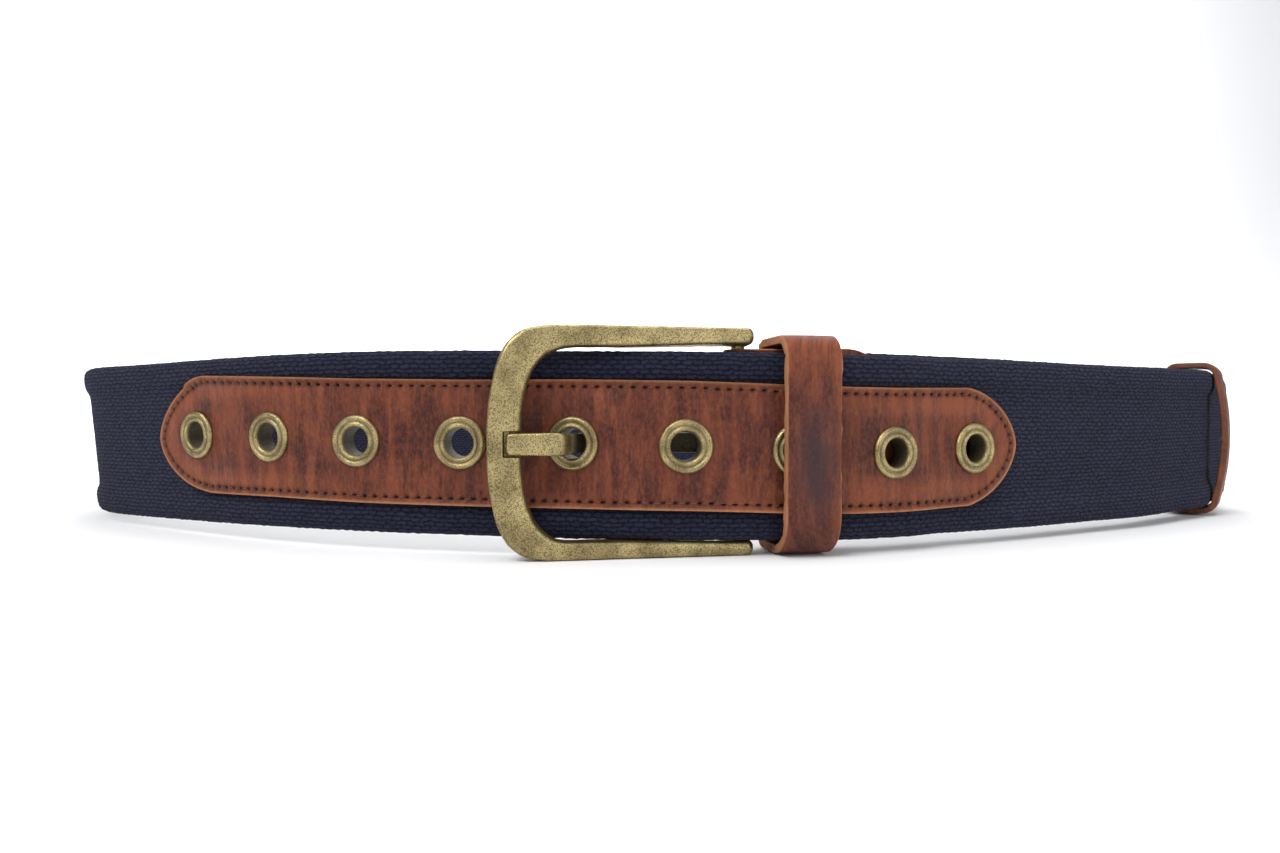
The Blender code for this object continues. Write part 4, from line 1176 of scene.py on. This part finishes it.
def makeKeeper(shape, at, front, rear):
    inner = keeperLine(front, rear, shape)
    ahead = np.roll(inner, -1, axis=0) - np.roll(inner, 1, axis=0)
    ahead /= np.linalg.norm(ahead, axis=1)[:, None]
    sideways = np.column_stack([ahead[:, 1], -ahead[:, 0]])
    width = keeperMake["width"]
    section = roundedBar(width, shape["thick"], keeperMake["edgeRound"], 0.05)
    rings = []
    for spot, side in zip(inner, sideways):
        rings.append([(s - width / 2, *(spot + side * d)) for s, d in section])
    travelled = np.concatenate([[0.0], np.cumsum(np.linalg.norm(np.diff(inner, axis=0), axis=1))])
    around = np.concatenate([[0.0], np.cumsum(np.linalg.norm(np.diff(section, axis=0), axis=1))])
    around = np.append(around, around[-1] + 0.1)
    keeper = sweptShell(shape["node"] + "_leather", rings, travelled, around, closedRun=True)
    points = coords(keeper)
    raw = np.clip((np.abs(points[:, 0]) - (width / 2 - 0.32)) / 0.2, 0.0, 1.0)
    rough = noiseAt(points, 1.9, (keeperMake["seed"], 0, 0))
    points[:, 0] += raw * rough * keeperMake["rough"] * np.sign(points[:, 0])
    addMask(keeper, "rawEdge", raw * shape["paleEdge"])
    across, halfAcross, up, halfUp = shape["smear"]
    spot = ((points[:, 0] - across) / halfAcross) ** 2 + ((points[:, 2] - up) / halfUp) ** 2
    patchy = np.array([noise.noise((p.x * 0.8, p.y * 0.3, p.z * 0.3)) for p in map(Vector, points)])
    addMask(keeper, "smear", np.clip(np.exp(-spot) * (1.2 + patchy), 0.0, 1.0))
    setFlatMap(keeper, np.column_stack([points[:, 0] + points[:, 1] * 0.6, points[:, 2] + points[:, 1]]))
    # painted light: each keeper is painted lighter towards its top, as if lit from above, and lighter along one edge
    addMask(keeper, "rubbedAndPaintedLight", ramp(points[:, 0], 3.6, 5.6) * 0.7 + ramp(points[:, 2], 30.0, 40.0) * 0.6)
    x, y, nx, ny, base, lean = stationAt(at)
    turn = math.radians(shape["turnDeg"])
    slantX, slantY = nx * math.sin(turn) - ny * math.cos(turn), ny * math.sin(turn) + nx * math.cos(turn)
    leant = points[:, 1] + lean * (points[:, 2] - middleUp)
    laid = np.column_stack([x + nx * leant + slantX * points[:, 0], y + ny * leant + slantY * points[:, 0],
                            base + points[:, 2]])
    setCoords(keeper, (laid + (*planShift, 0.0)) * mm)
    return finishPiece(keeper, leatherFinish, (shape["node"],), 50.0)


def lengthAtX(x):
    lengths = np.linspace(strap["bar"], strap["length"], 4000)
    return lengths[np.argmax(stationAt(lengths)[0] >= x)]


gap, bandThick = strapPlan["gap"], strapPlan["bandThick"]
overPatch = strapPlan["coreThick"] / 2 + 2 * gap + patchMake["thick"] + 0.7
underTab = 1.5 * bandThick + 2 * strapPlan["tabThick"] + 3 * gap
makeKeeper(buckleKeeperMake, lengthAtX(48.0), overPatch + gap, -underTab - gap)
underWeb = 1.5 * bandThick + strapPlan["layerGap"]
makeKeeper(endKeeperMake, strap["ring"], bandThick / 2 + gap, -underWeb - 1.0)
print("keepers ready")


tabMake = {
    "halfHeight": 20.0,
    "rise": 0.3,
    "endRise": 0.7,
    "endLength": 14.0,
    "slotHalfHeight": 3.2,
    "slotLength": 6.5,
    "slotBefore": 8.0,
    "slotDepth": 16.0,
}


def makeTab(spec):
    thick = strapPlan["tabThick"]
    leaf = bandThick / 2 + gap + thick / 2
    fold = frameMake["heelBarRadius"] + gap + thick / 2
    reach = strapPlan["tabLength"] - strapPlan["start"]
    rear, front = [], []
    for share in np.sin(np.linspace(math.pi / 2, 0.0, 26)):
        x, y, nx, ny, base, _ = stationAt(reach * share)
        base += spec["rise"] + spec["endRise"] * share
        rear.append((x - nx * leaf, y - ny * leaf, base, share))
        front.append((x + nx * leaf, y + ny * leaf, base, share))
    base = rear[-1][2]
    around = [(frameMake["heelBar"][0] + fold * math.cos(t), frameMake["heelBar"][1] + fold * math.sin(t), base, 0.0)
              for t in np.radians(np.linspace(78.0, 282.0, 22))]
    path = rear + around + front[::-1]
    sides = outwardNormals(np.array([(x, y) for x, y, _, _ in path]))
    rings = []
    for (x, y, base, share), (nx, ny) in zip(path, sides):
        past = max(0.0, share * reach - (reach - spec["endLength"])) / spec["endLength"]
        half = spec["halfHeight"] * math.sqrt(1.0 - 0.92 * past ** 2.4)
        ring = []
        for s, d in roundedBar(2 * half, thick, 0.4, 0.0):
            out = thick / 2 - d
            ring.append((x + nx * out, y + ny * out, base + middleUp + half - s))
        rings.append(ring)
    plan = np.array([(x, y) for x, y, _, _ in path])
    travelled = np.concatenate([[0.0], np.cumsum(np.linalg.norm(np.diff(plan, axis=0), axis=1))])
    tab = sweptShell("heel_tab_leather", rings, travelled, np.linspace(0.0, 40.0, len(rings[0]) + 1))
    heelX, heelY = frameMake["heelBar"]
    slotRun = spec["slotBefore"] + spec["slotLength"]
    slotMiddle = (heelX - spec["slotBefore"] + slotRun / 2, heelY, frameMiddle)
    carve(tab, cuttingBox(slotMiddle, (slotRun, spec["slotDepth"], 2 * spec["slotHalfHeight"])))
    points = coords(tab)
    xs, bases = zip(*[(x, base) for x, _, base, _ in path[25::-1]])
    edge = np.abs(points[:, 2] - middleUp - np.interp(points[:, 0], xs, bases))
    addMask(tab, "rawEdge", np.where(edge > spec["halfHeight"] - 0.3, 1.0, 0.0))
    setCoords(tab, (points + (*planShift, 0.0)) * mm)
    return finishPiece(tab, leatherFinish, ("heel_tab",), 45.0)


makeTab(tabMake)
print("tab ready")


# Plain pale floor that curves up behind, and soft studio light
stageMake = {"half": 3.0, "back": 2.2, "height": 3.0, "colour": (0.86, 0.86, 0.87, 1.0)}


def makeStage(spec):
    clearSelection()
    bpy.ops.mesh.primitive_plane_add(size=1.0, location=(0.0, 0.0, 0.0))
    floor = bpy.context.object
    floor.name = "studio_floor"
    setCoords(floor, [(spec["half"] * (1 if p[0] > 0 else -1), spec["back"] if p[1] > 0 else -spec["half"], 0.0)
                      for p in coords(floor)])
    for edge in floor.data.edges:
        edge.select = all(floor.data.vertices[k].co.y > 0 for k in edge.vertices)
    for vertex in floor.data.vertices:
        vertex.select = vertex.co.y > 0
    for face in floor.data.polygons:
        face.select = False
    bpy.ops.object.mode_set(mode="EDIT")
    bpy.ops.mesh.select_mode(type="EDGE")
    bpy.ops.mesh.extrude_region_move(TRANSFORM_OT_translate={"value": (0.0, 0.0, spec["height"])})
    leaveEdit()
    curve = floor.modifiers.new("curve", "BEVEL")
    curve.width = 1.0
    curve.segments = 24
    curve.limit_method = "ANGLE"
    applyModifiers(floor)
    made, tree, shader = newMaterial("paleFloor")
    tone = grainNoise(tree, solidPlace(tree), 0.004, 2.0, 0.5)
    low = tuple(c * 0.985 for c in spec["colour"][:3]) + (1.0,)
    tree.links.new(blendColours(tree, tone, low, spec["colour"]), shader.inputs["Base Color"])
    shader.inputs["Roughness"].default_value = 0.9
    shader.inputs["Specular IOR Level"].default_value = 0.1
    floor.data.materials.append(made)
    bpy.ops.object.shade_smooth_by_angle(angle=math.radians(40.0))


makeStage(stageMake)

lightMake = (
    # name, place, what it points at, size, watts
    ("key", (-0.75, -0.95, 1.25), (0.0, 0.0, 0.02), 0.8, 20.0),
    ("fill", (1.0, -1.0, 0.6), (0.0, 0.0, 0.02), 1.0, 6.0),
    ("top", (0.0, 0.3, 1.6), (0.0, 0.2, 0.0), 1.6, 20.0),
    ("back", (0.0, 1.1, 1.5), (0.0, 2.4, 0.7), 2.6, 62.0),
)
for name, place, target, size, watts in lightMake:
    bpy.ops.object.light_add(type="AREA", location=place)
    lamp = bpy.context.object
    lamp.name = name + "_light"
    lamp.data.shape = "SQUARE"
    lamp.data.size = size
    lamp.data.energy = watts
    aim = Vector(target) - Vector(place)
    lamp.rotation_euler = aim.to_track_quat("-Z", "Y").to_euler()

surround = {"colour": (0.95, 0.97, 1.0, 1.0), "strength": 0.42}
world = bpy.data.worlds.new("studioWorld")
world.use_nodes = True
for socket, value in enumerate((surround["colour"], surround["strength"])):
    world.node_tree.nodes["Background"].inputs[socket].default_value = value
bpy.context.scene.world = world
print("light ready,", pieceCount, "pieces")
